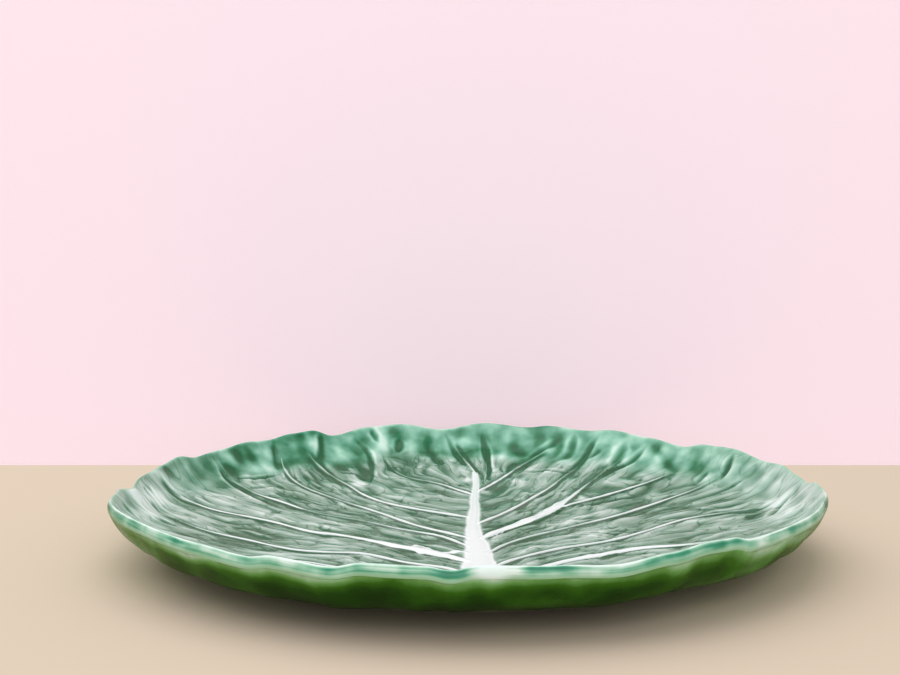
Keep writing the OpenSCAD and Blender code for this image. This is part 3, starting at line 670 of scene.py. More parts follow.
def relief(x, y):
    """Relief pressed into the face: height in mm, glaze depth for its colour with painted shade
    beside the veins, whiteness, the share of the flank in a place, and the wrinkles' flow across
    and along the veins. It is a sum of noises that follow the flow, and of bells across the
    veins' and furrows' lines."""
    r = np.hypot(x, y) / CREST_R
    turn = np.arctan2(y, x)
    passed, along, spread = stream(x, y)
    gap = spread.copy()
    mask, d, _ = around(x, y, smooth_line(RIGHT[BRANCH]), BRANCH_REACH)
    gap[mask] = np.minimum(gap[mask], np.abs(d))
    mid_mask, mid_d, mid_t = around(x, y, smooth_line(MIDRIB), MIDRIB_REACH)
    mid_gap = np.maximum(np.abs(mid_d) - midrib_half(mid_t), 0.0)
    gap[mid_mask] = np.minimum(gap[mid_mask], mid_gap)
    calm = soft_step((gap - CALM_GAP) / CALM_RUN)
    waver = 0.35 * noise(turn * 5.0, r * 6.0, 51)
    flank = soft_step((r - FLANK_START_SHARE) / FLANK_RUN_SHARE + waver)
    brim = soft_step((r - BRIM_START_SHARE) / BRIM_RUN_SHARE)
    # the flow wanders, less in the middle of a wide gap, and the wrinkles run with it
    wander = 0.12 * noise(x / 16.0 + 3.0, y / 16.0 + 8.0, 41)
    u = passed + wander / (1.0 + (spread / WIDE_GAP) ** 2)
    v = along + 9.0 * noise(x / 22.0 + 31.0, y / 22.0 + 17.0, 43)
    wrinkles = -WRINKLE_SINK
    for rise, sharp, per_gap, length, across_at, along_at, seed in WRINKLES:
        layer = noise(u * per_gap + across_at, v / length + along_at, seed)
        if sharp:
            layer = np.maximum(0.0, 1.0 - np.abs(layer) / sharp)
        wrinkles = wrinkles + rise * layer
    pucker = noise(x / 9.0 + 50.0, y / 11.0 + 50.0, 7)
    wrinkles = wrinkles + 0.14 * pucker
    # lumps and flutes of the flank
    lump = noise(turn * 13.0 + 20.0, r * 17.0, 13)
    flute = noise(turn * 22.0 + 70.0, r * 4.0 + 30.0, 17)
    rough = 0.65 * lump + 0.5 * flute + 0.25 * pucker
    height = calm * (1.0 - flank) * wrinkles + flank * (1.0 - brim) * rough
    # the flank's glaze is paler on the right than on the left, and palest at both tips: powers of
    # the place from -1 at the left to 1 at the right
    sideways = x / np.maximum(r * CREST_R, 1.0)
    left = sideways < 0
    side_tone = (0.12 * sideways + 0.7 * sideways ** 12 - 0.02
            + left * (1.1 * sideways ** 20 - 0.8 * sideways ** 4))
    depth = 1.25 * height + flank * side_tone
    tint = flank * (1.0 - 0.85 * np.abs(sideways) ** 8)
    white = np.zeros(x.shape)
    # a groove with pooled glaze beside each vein, deeper on the side towards the stalk, with
    # painted shade in its glaze, darker beside a higher vein and on the side towards the stalk,
    # which faces the camera
    for _, node, pale, shares in VEINS:
        line = smooth_line(shares)
        half, high, pale = rib_sizes(node, pale, len(line))
        mask, d, t = around(x, y, line, GROOVE_REACH)
        steps = np.linspace(0.0, 1.0, len(line))
        w, strong = np.interp(t, steps, half), np.interp(t, steps, high)
        ends = soft_step(t / 0.04) * soft_step((1.0 - t) / 0.15)
        stalkward = d > 0 if node.startswith("left") else d < 0
        beside = (bell(np.abs(d) - w, GROOVE_GAP, GROOVE_HALF) * ends
                  * np.where(stalkward, 1.0, GROOVE_FAR_SHARE))
        height[mask] -= GROOVE_DEPTH * beside
        # painted shade: the glaze in the groove is made darker, the more so beside a higher vein
        depth[mask] -= (1.5 + 1.2 * strong) * beside
        # the glaze runs thin and pale a little way down beside a white vein
        fade = np.interp(t, steps, pale) * bell(np.maximum(np.abs(d) - w, 0.0), 0.0, RUN_OFF)
        white[mask] = np.maximum(white[mask], 0.1 * fade)
    # the midrib's white glaze runs out beside it, further on its left
    wet = np.where(mid_d > 0, WET_LEFT, WET_RIGHT) * (1.0 - 0.4 * mid_t)
    wet = wet * (1.0 + 0.4 * noise(x[mid_mask] / 9.0, y[mid_mask] / 12.0, 61))
    white[mid_mask] = np.maximum(white[mid_mask], bell(mid_gap, 0.0, wet))
    # furrows: a cut with pooled glaze and a raised edge with thin glaze, narrower at their ends
    for deep, half, edge, shares in FURROWS:
        mask, d, t = around(x, y, smooth_line(shares), 4.0 + 3.0 * half)
        ends = soft_step(t / 0.25) * soft_step((1.0 - t) / 0.42)
        half = half * (0.4 + 0.6 * ends)
        cut = bell(d, 0.0, half) * ends
        away = np.abs(d) if edge in (0, 2) else d * edge
        raised = bell(away, EDGE_SHARE * half, EDGE_HALF_SHARE * half) * ends * (edge != 2)
        height[mask] += deep * (0.35 * raised - 0.95 * cut)
        depth[mask] += deep * (0.8 * raised - 1.4 * cut)
    for shares in WHITE_LINES:
        mask, d, t = around(x, y, smooth_line(shares), RIDGE_REACH)
        ridge = bell(d, 0.0, RIDGE_HALF) * soft_step(t / 0.15) * soft_step((1.0 - t) / 0.2)
        height[mask] += 0.4 * ridge
        white[mask] = np.maximum(white[mask], ridge)
    for at_x, at_y, size, change in CLOUDS:
        distance = np.hypot(x - at_x * CREST_R, y - at_y * CREST_R)
        depth += 1.6 * change * bell(distance, 0.0, size)
    return np.clip(height, 0.4 * flank + RELIEF_LOW, RELIEF_HIGH), depth, white, tint, u, v


def midrib_half(t):
    """Half width of the midrib at a share of its length: MIDRIB_WIDTH_SHARES of the way from
    its tip's width to its stalk's, halved, slimmer by MIDRIB_SLIM, and made a little uneven
    by two sine waves."""
    shares = np.interp(t, np.linspace(0.0, 1.0, len(MIDRIB_WIDTH_SHARES)),
                       MIDRIB_WIDTH_SHARES)
    half = (MIDRIB_TIP_W + (MIDRIB_STALK_W - MIDRIB_TIP_W) * shares) / 2.0 - MIDRIB_SLIM
    return half * (0.97 + 0.04 * np.sin(t * 47.0) + 0.03 * np.sin(t * 83.0 + 1.0))


# ---------------------------------------------------------------- meshes


def grid_faces(rows, columns, first=0, around_closed=True):
    """Quads of a grid of rows by columns, the columns joined up round when closed. Its point
    in row i and column j is first + i times columns + j."""
    last = columns if around_closed else columns - 1
    i, j = np.meshgrid(np.arange(rows - 1), np.arange(last), indexing="ij")
    a = first + i * columns + j
    b = first + i * columns + (j + 1) % columns
    return np.stack([a, b, b + columns, a + columns], -1).reshape(-1, 4)


def fan(middle, ring):
    """Triangles from a middle point to a closed ring of points, in the ring's direction."""
    return np.stack([np.full(len(ring), middle), ring, np.roll(ring, -1)], -1)


def seam(fine, coarse, per):
    """Triangles between a fine closed ring and a coarse one with a point to every per of its
    points: per of them from each coarse point, and one on to the next coarse point."""
    start = per * np.arange(len(coarse))
    rows = [np.stack([coarse, fine[start + n], fine[(start + n + 1) % len(fine)]], -1)
            for n in range(per)]
    rows.append(np.stack([coarse, fine[(start + per) % len(fine)], np.roll(coarse, -1)], -1))
    return np.concatenate(rows)


def new_piece(name, points, quads, triangles, material, attributes=None):
    """A smooth mesh from points in mm, quads and triangles, with numbers kept per point. A
    number that is given for the first points only is 0 on the others."""
    quads = np.asarray(quads, int).reshape(-1, 4)
    triangles = np.asarray(triangles, int).reshape(-1, 3)
    mesh = bpy.data.meshes.new(name)
    mesh.vertices.add(len(points))
    mesh.vertices.foreach_set("co", (np.asarray(points, float) * MM).astype("f").ravel())
    corners = np.concatenate([quads.ravel(), triangles.ravel()]).astype("i")
    mesh.loops.add(len(corners))
    mesh.loops.foreach_set("vertex_index", corners)
    starts = np.concatenate([np.arange(len(quads)) * 4,
                             len(quads) * 4 + np.arange(len(triangles)) * 3])
    mesh.polygons.add(len(starts))
    mesh.polygons.foreach_set("loop_start", starts.astype("i"))
    mesh.update(calc_edges=True)
    mesh.validate()
    # the closing triangles are flat, so that they do not bend the shading at a coat's edge
    mesh.polygons.foreach_set("use_smooth", np.arange(len(mesh.polygons)) < len(quads))
    for key, values in (attributes or {}).items():
        kept = np.zeros(len(points), "f")
        kept[:np.size(values)] = np.ravel(values)
        mesh.attributes.new(key, "FLOAT", "POINT").data.foreach_set("value", kept)
    mesh.materials.append(material)
    piece = bpy.data.objects.new(name, mesh)
    scene.collection.objects.link(piece)
    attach(piece, "root")
    return piece


def outward(points):
    """Unit normals of a grid of closed rings: the cross product of the steps from ring to ring
    and round them."""
    across = (np.roll(points, -1, 1) - np.roll(points, 1, 1)) / 2.0
    return unit(np.cross(np.gradient(points, axis=0), across))


# The rings' places: radius up to the crest, then the angle round the lip as radius beyond it.
# They lie even to FINE_START_R, closer up the flank and closest round the lip.
RING_PLACES = np.interp(np.arange(FACE_RINGS + 1), [0, 106, 138, FACE_RINGS],
                        [0.0, FINE_START_R, CREST_R, CREST_R + LIP_RUN])


def coat_point(place, turn, depth=0.0):
    """Point of the face's coat: face_point up to the crest, lip_point beyond it."""
    on_face = face_point(np.minimum(place, CREST_R), turn, depth)
    round_lip = np.clip((place - CREST_R) / LIP_RUN, 0.0, 1.0)
    return np.where((place > CREST_R)[..., None],
                    lip_point(round_lip * LIP_END, turn, depth), on_face)


def surface_normal(place, turn):
    """Unit normal of the coat: the cross product of the ways between the points a fifth of a
    millimetre before and behind, and to both sides."""
    step = 0.2
    ahead = coat_point(place + step, turn) - coat_point(np.maximum(place - step, 0.0), turn)
    angle = step / np.maximum(place, 1.0)
    beside = coat_point(place, turn + angle) - coat_point(place, turn - angle)
    return np.where((place < 0.5)[..., None], np.array([0.0, 0.0, 1.0]),
                    unit(np.cross(ahead, beside)))


def laid_on(place, turn):
    """Points of the finished face, the relief laid on along the coat's normal, and the numbers
    that its glaze reads there: depth with painted highlights and shade in it, whiteness, the
    shares of the flank, of the lip and of the lip's lower edge, where a highlight is painted, and
    the wrinkles' flow across and along the veins."""
    base = coat_point(place, turn)
    x, y = base[..., 0], base[..., 1]
    made = relief(x.ravel(), y.ravel())
    height, depth, white, flank, across, along = (v.reshape(place.shape) for v in made)
    a = np.clip((place - CREST_R) / LIP_RUN, 0.0, 1.0)
    lip = soft_step(place - (CREST_R - 1.0))
    # on the lip the glaze runs off its two edges, and a painted highlight lies along them: along
    # the crest most of all in front, where it faces the camera, and along the lower edge
    front = 0.15 + 0.85 * soft_step((0.4 - np.sin(turn)) / 0.5)
    front = front * (1.0 - 0.6 * soft_step((np.abs(np.cos(turn)) - 0.8) / 0.15))
    crest_edge = bell(a, *CREST_BAND) * front
    low = soft_step((a - LOW_START) / LOW_RUN)
    # between them it gathers and runs in streaks, fewer and paler at the right
    streak = noise(turn * 4.0, a * 3.5, 23) + 0.6 * noise(turn * 6.0, a * 10.0, 24)
    right = soft_step((np.cos(turn) - 0.4) / 0.3)
    pools = sum(change * bell(x / CREST_R, at, size)
                for at, size, change in LIP_POOLS) * (np.sin(turn) < 0)
    uneven = 0.8 * streak * (1.0 - 0.6 * right) + pools * bell(a, *POOL_BAND)
    # the painted highlights along the crest and the lower edge go into the lip's glaze depth
    band = 1.6 * crest_edge + 0.5 * low + 0.2 * right + uneven * (1.0 - low)
    height = height * (1.0 - lip) + lip * 0.08 * noise(turn * 30.0, a * 2.0, 25)
    depth = depth * (1.0 - lip) + lip * np.minimum(band, LIP_DEPTH_TOP)
    # the stalk's white glaze runs out over the crest, thin at its sides
    out = soft_step((-y / CREST_R - 0.93) / 0.05) * (place > 0.9 * CREST_R)
    wide = soft_step((13.0 - np.abs(x - 8.0)) / 6.0) * (1.0 + 0.4 * noise(x / 5.0, a * 2.0, 29))
    full = bell(x, RUN_OUT_X, RUN_OUT_HALF)
    depth = depth + 1.1 * out * lip * wide * (1.0 - 0.4 * a)
    white = np.maximum(white * (1.0 - soft_step((place - CREST_R + 1.0) / 2.0)),
                       out * full * (1.0 - 0.3 * a ** 2))
    points = base + surface_normal(place, turn) * height[..., None]
    return points, {"glaze_depth_and_light": depth, "white": white, "flank": flank, "lip": lip,
                    "low": low, "flow_across": across, "flow_along": along}


def face_piece(material):
    """The face's coat: a square grid wrapped on the disc ring by ring, out over the lip, and
    closed by a coarse inside a little below it. A grid place's ring is the greater of its
    steps from the middle, and its angle off the nearest axis is 45 degrees times the lesser
    over the greater."""
    i, j = np.meshgrid(*[np.arange(-FACE_RINGS, FACE_RINGS + 1)] * 2, indexing="ij")
    ring = np.maximum(np.abs(i), np.abs(j))
    wide = np.abs(i) >= np.abs(j)
    with np.errstate(divide="ignore", invalid="ignore"):
        turn = np.where(wide, np.pi / 4 * j / i, np.pi / 2 - np.pi / 4 * i / j)
    turn = np.where(ring == 0, 0.0, turn) + np.where(np.where(wide, i, j) < 0, np.pi, 0.0)
    points, made = laid_on(RING_PLACES[ring], turn)
    size = 2 * FACE_RINGS + 1
    # the fine grid's edge, in order of its angle, for the seam with the inside
    edge = np.nonzero(ring.ravel() == FACE_RINGS)[0]
    edge = edge[np.argsort(turn.ravel()[edge] % (2 * np.pi))]
    spokes = len(edge) // FACE_SEAM
    turns = even_turns(spokes) + turn.ravel()[edge[0]] % (2 * np.pi)
    rows = np.concatenate([np.linspace(CREST_R + LIP_RUN, CREST_R, 5), RING_ROWS, [80.0, 40.0]])
    sunk = COAT * np.where(rows > CREST_R - 0.1, 0.6, 1.0)
    inside = coat_point(rows[:, None], turns, sunk[:, None])
    first = size * size
    middle = first + len(rows) * spokes
    under = coat_point(np.array([0.0]), np.array([0.0]), COAT)
    all_points = np.concatenate([points.reshape(-1, 3), inside.reshape(-1, 3), under])
    quads = np.concatenate([grid_faces(size, size, around_closed=False),
                            grid_faces(len(rows), spokes, first)])[:, ::-1]
    k = np.arange(spokes)
    closing = np.concatenate([seam(edge, first + k, FACE_SEAM),
                              fan(middle, (middle - spokes + k)[::-1])])
    return new_piece("glaze_face", all_points, quads, closing, material, made)


def rib_piece(name, line, half, high, pale, material, across=13, sink=0.35, round_off=0.75):
    """A rib laid along a line: a rounded section on the face's relief, its edges sunk. Its
    crown is 1 minus the share of its half width to the power of RIB_CROWN_POWER, and all of
    that to the power of round_off."""
    count = len(line)
    way = unit(np.gradient(line, axis=0))
    side = np.stack([-way[:, 1], way[:, 0]], -1)
    a = np.sin(np.linspace(-1.0, 1.0, across) * np.pi / 2)
    xy = line[:, None, :] + side[:, None, :] * (a[None, :, None] * half[:, None, None])
    r = np.hypot(xy[..., 0], xy[..., 1])
    turn = np.arctan2(xy[..., 1], xy[..., 0])
    place = r - RIPPLE_REACH * ripple_share(r) * ripple(turn)[1]
    base, made = laid_on(place, turn)
    normal = surface_normal(place, turn)
    from_end = np.minimum(np.arange(count), np.arange(count)[::-1])
    ends = np.sin(np.pi / 2 * np.clip(from_end / RIB_END_STEPS, 0.0, 1.0))
    crown = np.maximum(1.0 - np.abs(a) ** RIB_CROWN_POWER, 0.0)[None, :] ** round_off
    lift = (high * ends)[:, None] * crown
    top = base + normal * (lift - sink * (1.0 - crown) ** 3 - 0.02)[..., None]
    bottom = base - normal * (sink + RIB_UNDER)
    ring = np.concatenate([top, bottom[:, ::-1]], 1)
    sides = ring.shape[1]
    k = np.arange(across - 1)
    cap = np.stack([k, k + 1, sides - 2 - k, sides - 1 - k], -1)
    quads = np.concatenate([grid_faces(count, sides), cap[:, ::-1], cap + (count - 1) * sides])
    # the glaze runs thin off the rib's height, and is white from its edges inwards
    made["glaze_depth_and_light"] = made["glaze_depth_and_light"] * 0.7 + 1.1 * lift
    made["white"] = np.maximum(pale[:, None] * soft_step((crown - 0.05) / 0.3), made["white"])
    return new_piece(name, ring.reshape(-1, 3), quads, [], material, {
        key: np.concatenate([values, values[:, ::-1]], 1) for key, values in made.items()})


# ---------------------------------------------------------------- glazes and clay


def finish(tree, colour, height, bump, deep_mm, gloss):
    """The surface: a colour, the strength and depth of a bump, and the gloss's own numbers."""
    normal = add(tree, "Bump", {"Height": height, "Strength": bump, "Distance": deep_mm * MM})
    surface = add(tree, "BsdfPrincipled", {"Base Color": colour, "Normal": normal, **gloss})
    add(tree, "OutputMaterial", {"Surface": surface})


def leaf_glaze():
    """Copper-green glaze over pressed relief: pale where it runs thin off the high places, deep
    green where it pools in the furrows, and opaque white over the midrib and veins. Its depth
    numbers also bring in painted highlights on the lip and painted shade beside the veins, and
    the lip's low edge a painted highlight."""
    material, tree = new_material("copper_green_glaze")
    depth, white, flank, lip, low, across, along = (
        add(tree, "Attribute", output="Fac", attribute_name=name)
        for name in ("glaze_depth_and_light", "white", "flank", "lip", "low", "flow_across", "flow_along"))
    # clouds, patches and flecks of uneven glaze, and the fine ripple of its skin, in mm
    place = add(tree, "TexCoord", output="Object")
    cloud, patch, fleck, skin = (
        add(tree, "TexNoise", {"Vector": place, "Scale": PER_MM / size, "Detail": detail,
                               "Roughness": rough}, output="Fac")
        for size, detail, rough in ((26.0, 3.0, 0.5), (13.0, 2.0, 0.45), (4.5, 3.0, 0.6),
                                    (1.8, 2.0, 0.5)))
    # fine dark creases that run with the wrinkles over the dish, where their noise is at its
    # middle: some six to the gap between two veins, and about 22 mm long
    flow = add(tree, "CombineXYZ", {
        axis: add(tree, "Math", {0: way, 1: share}, operation="MULTIPLY")
        for axis, way, share in (("X", across, 6.0), ("Y", along, 0.045))})
    grain = add(tree, "TexNoise", {"Vector": flow, "Scale": 1.0, "Detail": 1.0,
                                   "Roughness": 0.5}, output="Fac")
    from_middle = add(tree, "Math", {0: add(tree, "Math", {0: grain, 1: 0.5},
                                            operation="SUBTRACT")}, operation="ABSOLUTE")
    line = add(tree, "MapRange", {"Value": from_middle, "From Max": 0.04, "To Min": 1.0,
                                  "To Max": 0.0}, interpolation_type="SMOOTHSTEP")
    beyond = add(tree, "Math", {0: flank, 1: lip}, operation="MAXIMUM")
    bare = add(tree, "Math", {0: 1.0, 1: beyond}, operation="SUBTRACT")
    crease = add(tree, "Math", {0: line, 1: bare}, operation="MULTIPLY")
    # the glaze's depth with its painted highlights and shade, about -1.5 to 1, with clouds,
    # flecks and creases, brought to 0 to 1
    patchy = add(tree, "Math", {0: patch, 1: 0.5}, operation="SUBTRACT")
    on_flank = add(tree, "Math", {0: patchy, 1: flank}, operation="MULTIPLY")
    level = 0.22
    for part, share in ((depth, 0.42), (cloud, 0.4), (fleck, 0.2), (on_flank, 1.1),
                        (crease, -0.25)):
        level = add(tree, "Math", {0: part, 1: share, 2: level}, operation="MULTIPLY_ADD")
    dish, side, rim = (
        add(tree, "ValToRGB", {"Fac": level}, output="Color", stops=stops) for stops in (
            ((0.0, "#1a5433"), (0.22, "#3a6c50"), (0.45, "#7a9a87"), (0.7, "#adc0b5"),
             (1.0, "#e1e9e6")),
            ((0.0, "#0a5a34"), (0.25, "#2a7a54"), (0.5, "#65a58a"), (0.75, "#99cdb5"),
             (1.0, "#cfeadd")),
            ((0.0, "#0f6f50"), (0.35, "#3a9675"), (0.62, "#8fc5a8"), (0.85, "#c4e2d2"),
             (1.0, "#e6f6ef"))))
    # the white glaze, its edge broken by the flecks
    broken = add(tree, "Math", {0: fleck, 1: 0.4, 2: 0.8}, operation="MULTIPLY_ADD")
    thick = add(tree, "Math", {0: white, 1: broken}, operation="MULTIPLY")
    cover = add(tree, "MapRange", {"Value": thick, "From Min": 0.05, "From Max": 0.8},
                interpolation_type="SMOOTHSTEP")
    opaque = add(tree, "Mix", {0: lip, 6: "#f1f4f5", 7: "#e6f8f5"}, output=2, data_type="RGBA")
    # the colours laid over one another by their shares; the lip's low edge takes a pale green, a
    # painted highlight
    colour = dish
    for share, over in ((flank, side), (lip, rim), (low, "#9cc8a4"), (cover, opaque)):
        colour = add(tree, "Mix", {0: share, 6: colour, 7: over}, output=2, data_type="RGBA")
    uncovered = add(tree, "Math", {0: 1.0, 1: cover}, operation="SUBTRACT")
    open_crease = add(tree, "Math", {0: crease, 1: uncovered}, operation="MULTIPLY")
    height = add(tree, "Math", {0: open_crease, 1: -4.0, 2: skin}, operation="MULTIPLY_ADD")
    sheen = add(tree, "MapRange", {"Value": cloud, "To Min": 0.1, "To Max": 0.24})
    finish(tree, colour, height, 0.12, 0.4, {"Roughness": sheen, "IOR": 1.5})
    return material


def under_glaze():
    """Olive-green glaze of the underside: glossy, dark where it has pooled in clouds and pale
    where it has run thin, and made lighter or darker by the painted light, shade and reflection
    in its depth numbers."""
    material, tree = new_material("olive_green_glaze")
    place = add(tree, "TexCoord", output="Object")
    cloud, fleck, skin = (
        add(tree, "TexNoise", {"Vector": place, "Scale": PER_MM / size, "Detail": detail,
                               "Roughness": rough}, output="Fac")
        for size, detail, rough in ((34.0, 3.0, 0.5), (5.0, 3.0, 0.6), (2.2, 2.0, 0.5)))
    depth = add(tree, "Attribute", output="Fac", attribute_name="glaze_depth_and_light")
    level = add(tree, "Math", {0: depth, 1: -0.355}, operation="ADD")
    for part, share in ((cloud, 0.55), (fleck, 0.16)):
        level = add(tree, "Math", {0: part, 1: share, 2: level}, operation="MULTIPLY_ADD")
    colour = add(tree, "ValToRGB", {"Fac": level}, output="Color", stops=(
        (0.0, "#0a2800"), (0.25, "#184600"), (0.5, "#356c10"), (0.72, "#6ba356"),
        (0.9, "#a6d0a8"), (1.0, "#d2ebdf")))
    finish(tree, colour, skin, 0.12, 0.4, {"Roughness": 0.14, "IOR": 1.5})
    return material


def bare_earthenware(name, pale, dark, grain_mm):
    """Fired clay without glaze: matt, chalky, with fine grit and stains a few mm wide."""
    material, tree = new_material(name)
    place = add(tree, "TexCoord", output="Object")
    grit, stain = (
        add(tree, "TexNoise", {"Vector": place, "Scale": PER_MM / size, "Detail": detail,
                               "Roughness": rough}, output="Fac")
        for size, detail, rough in ((grain_mm, 4.0, 0.7), (18.0, 3.0, 0.5)))
    colour = add(tree, "Mix", {0: stain, 6: pale, 7: dark}, output=2, data_type="RGBA")
    finish(tree, colour, grit, 0.4, 0.2, {"Roughness": 0.85})
    return material


LEAF_GLAZE = leaf_glaze()
UNDER_GLAZE = under_glaze()
BARE_CLAY = bare_earthenware("bare_earthenware", "#e9e1d2", "#d8cbb5", 0.5)
BODY_CLAY = bare_earthenware("body_earthenware", "#e3d8c6", "#d2c3ab", 0.6)

# ---------------------------------------------------------------- the underside


def back_point(place, turn, depth=0.0):
    """Point of the underside: place 0 is the lip's end, 1 the crest's underside, 2 the
    shoulder and 3 the foot, set in by a depth. It runs straight from shoulder to foot."""
    a = LIP_SEAM + (np.pi - LIP_SEAM) * np.clip(place, 0.0, 1.0)
    r = CREST_R + (SHOULDER_R - CREST_R) * np.clip(place - 1.0, 0.0, 1.0)
    out = np.where((place > 1.0)[..., None], face_point(r, turn, wall_at(r) - depth),
                   lip_point(a, turn, depth))
    end = face_point(np.full_like(r, SHOULDER_R), turn, SHOULDER_T - depth)
    foot = ring_points(FOOT_OUT_R + 0.1, FOOT_EDGE_H + 0.4 + depth, turn)
    t = np.clip(place - 2.0, 0.0, 1.0)[..., None]
    return np.where((place > 2.0)[..., None], end * (1.0 - t) + foot * t, out)


def back_piece(material):
    """The underside's coat from the lip to the foot, with the rim's flutes in it, and its
    coarse inside. The flutes are noise, strongest half way to the foot."""
    coarse = 180
    spokes = BACK_SEAM * coarse
    rows = np.concatenate([np.linspace(0.0, 1.0, 4)[:-1], np.linspace(1.0, 2.0, 26)[:-1],
                           np.linspace(2.0, 3.0, 34)])
    turn = even_turns(spokes)
    place, turns = np.meshgrid(rows, turn, indexing="ij")
    base = back_point(place, turns)
    middle = np.sin(np.pi * np.clip(place / 3.0, 0.0, 1.0))
    flute = noise(turns * 9.0 + 3.0, place * 0.9, 31)
    small = noise(turns * 26.0, place * 3.0, 37)
    height = middle * (0.8 * flute + 0.08 * small) * soft_step((place - 0.6) / 0.6)
    height = height - 0.02 * bell(place, 0.0, 0.4)   # just under the face's coat
    points = base - outward(base) * (height - 0.05 * middle)[..., None]
    # painted light: the glaze is painted pale where the underside catches light, under the lip,
    # further down at the right and at both ends. It gathers in pools below, dark olive with
    # painted shade, and a painted reflection of the table makes it paler again towards the foot.
    right, left = np.maximum(np.cos(turns), 0.0), np.maximum(-np.cos(turns), 0.0)
    fall = (1.0 + 0.15 * noise(turns * 8.0, place * 0.0, 33)) * (1.0 + 1.2 * right ** 2)
    pale = 0.6 * bell(np.maximum(place - 0.95, 0.0), 0.0, 0.2 * fall)
    # painted light on the underside's left and right ends
    aside = 0.5 * right ** 3 + 0.55 * left ** 4
    pale = np.maximum(pale, aside * (1.0 - soft_step((place - 1.5) / 0.9)))
    drip = 0.22 * bell(base[..., 0], DRIP_X, DRIP_HALF) * (base[..., 1] < 0)
    drip = drip * (1.0 - soft_step((place - 1.1) / 0.6))
    pools = noise(turns * 7.0 + 5.0, place * 1.6, 35) + 0.5 * noise(turns * 15.0, place * 2.5, 36)
    # more painted light at both ends, and a painted reflection of the table, paler towards the
    # foot
    ends = 0.22 * np.cos(turns) ** 2
    footward = 0.26 * soft_step((place - 1.45) / 0.6)
    level = 0.2 + pale + drip + middle * (0.12 * flute + 0.2 * pools) + footward + ends
    level = np.minimum(level, 1.0 - ends)
    inside_rows = np.array([3.0, 2.5, 2.0, 1.6, 1.3, 1.0, 0.5, 0.0])
    inside = back_point(inside_rows[:, None], turn[::BACK_SEAM], BACK_COAT)
    first = len(rows) * spokes
    quads = np.concatenate([grid_faces(len(rows), spokes),
                            grid_faces(len(inside_rows), coarse, first)])
    all_points = np.concatenate([points.reshape(-1, 3), inside.reshape(-1, 3)])
    lip_ring, k = np.arange(spokes), np.arange(coarse)
    closing = np.concatenate([
        seam(first - spokes + lip_ring, first + k, BACK_SEAM),
        seam(lip_ring, len(all_points) - coarse + k, BACK_SEAM)[:, ::-1]])
    return new_piece("glaze_back", all_points, quads, closing, material, {"glaze_depth_and_light": level})


def turned_piece(name, section, material, spokes=240):
    """A closed section of (radius, height) turned round the middle, which it doesn't touch."""
    section = np.array(section, float)
    points = ring_points(section[:, :1], section[:, 1:], even_turns(spokes))
    quads = grid_faces(len(section) + 1, spokes) % (len(section) * spokes)
    return new_piece(name, points.reshape(-1, 3), quads, [], material)


def recess_z(r):
    """Height of the recess inside the foot, a wall's thickness under the face."""
    return face_z(r) - WALL_T


def disc_piece(name, radius, top, bottom, material, attributes, rings=60, spokes=180):
    """A closed disc between two height curves, its middles single points."""
    r = radius * np.arange(1, rings + 1) / rings
    radii = np.concatenate([r, r[::-1]])
    heights = np.concatenate([bottom(r), top(r[::-1])])
    points = ring_points(radii[:, None], heights[:, None], even_turns(spokes)).reshape(-1, 3)
    ends = np.array([[0, 0, bottom(0.0)], [0, 0, top(0.0)]])
    k = np.arange(spokes)
    fans = np.concatenate([fan(len(points), k[::-1]),
                           fan(len(points) + 1, len(points) - spokes + k)])
    made = {key: np.full(len(points) + 2, value) for key, value in attributes.items()}
    return new_piece(name, np.concatenate([points, ends]), grid_faces(2 * rings, spokes), fans,
                     material, made)


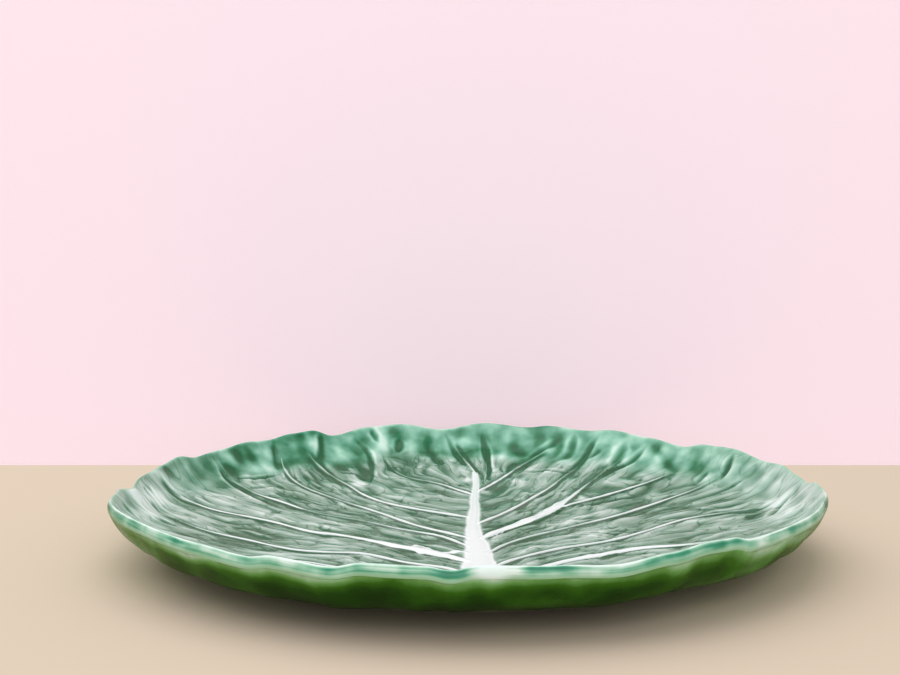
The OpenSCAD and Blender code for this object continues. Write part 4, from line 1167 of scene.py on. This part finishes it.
def body_piece(material):
    """The clay wall between the coats, from under the face's coat to over the back's."""
    spokes = 240
    turn = even_turns(spokes)
    face_rows = np.concatenate([[30.0, 60.0, 90.0], RING_ROWS[::-1]])
    back_rows = np.array([1.1, 1.4, 1.7, 2.0, 2.5, 2.98])
    floor_rows = np.array([99.0, 70.0, 35.0])
    over_recess = RECESS_COAT + HAIR
    rings = np.concatenate([
        face_point(face_rows[:, None], turn, COAT + HAIR),
        back_point(back_rows[:, None], turn, BACK_COAT + HAIR),
        ring_points(floor_rows[:, None], recess_z(floor_rows)[:, None] + over_recess, turn)])
    points = rings.reshape(-1, 3)
    ends = np.array([[0, 0, face_z(0.0) - COAT - HAIR], [0, 0, recess_z(0.0) + over_recess]])
    k = np.arange(spokes)
    fans = np.concatenate([fan(len(points), k),
                           fan(len(points) + 1, (len(points) - spokes + k)[::-1])])
    return new_piece("clay_body", np.concatenate([points, ends]),
                     grid_faces(len(rings), spokes)[:, ::-1], fans, material)


# ---------------------------------------------------------------- putting it together

face = face_piece(LEAF_GLAZE)
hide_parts("face_glaze")

back = back_piece(UNDER_GLAZE)
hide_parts("back_glaze")

recess = disc_piece("glaze_recess", FOOT_IN_R - 0.1, lambda r: recess_z(r) + RECESS_COAT,
                    recess_z, UNDER_GLAZE, {"glaze_depth_and_light": 0.42})
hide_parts("recess_glaze")

body = body_piece(BODY_CLAY)
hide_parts("leaf_body")

foot = turned_piece("foot", [
    (FOOT_IN_R, FOOT_BEVEL_W), (FOOT_IN_R + 0.35, FOOT_BEVEL_W * 0.4),
    (FOOT_IN_R + FOOT_BEVEL_W, 0.0), (FOOT_MID_R, 0.0), (FOOT_OUT_R - FOOT_BEVEL_W, 0.0),
    (FOOT_OUT_R - 0.3, 0.25), (FOOT_OUT_R, FOOT_EDGE_H), (FOOT_OUT_R, FOOT_GLAZE_H),
    (FOOT_MID_R, FOOT_TOP_H), (FOOT_IN_R, recess_z(FOOT_IN_R) + RECESS_COAT)], BARE_CLAY)
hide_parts("foot_ring")

for rib_name, rib_node, rib_white, rib_shares in VEINS:
    rib_line = smooth_line(rib_shares, step=RIB_STEP, before=RIB_BEFORE)
    rib = rib_piece(rib_name, rib_line, *rib_sizes(rib_node, rib_white, len(rib_line)),
                    LEAF_GLAZE)
    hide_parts(rib_node)

# the midrib is half a millimetre high at the stalk, lower towards the tip
mid_line = smooth_line(MIDRIB, step=RIB_STEP)
mid_t = np.linspace(0.0, 1.0, len(mid_line))
midrib = rib_piece("rib_mid", mid_line, midrib_half(mid_t), 0.5 - 0.2 * mid_t,
                   soft_step(mid_t / 0.05), LEAF_GLAZE, across=25, sink=0.08, round_off=1.5)
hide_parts("midrib")
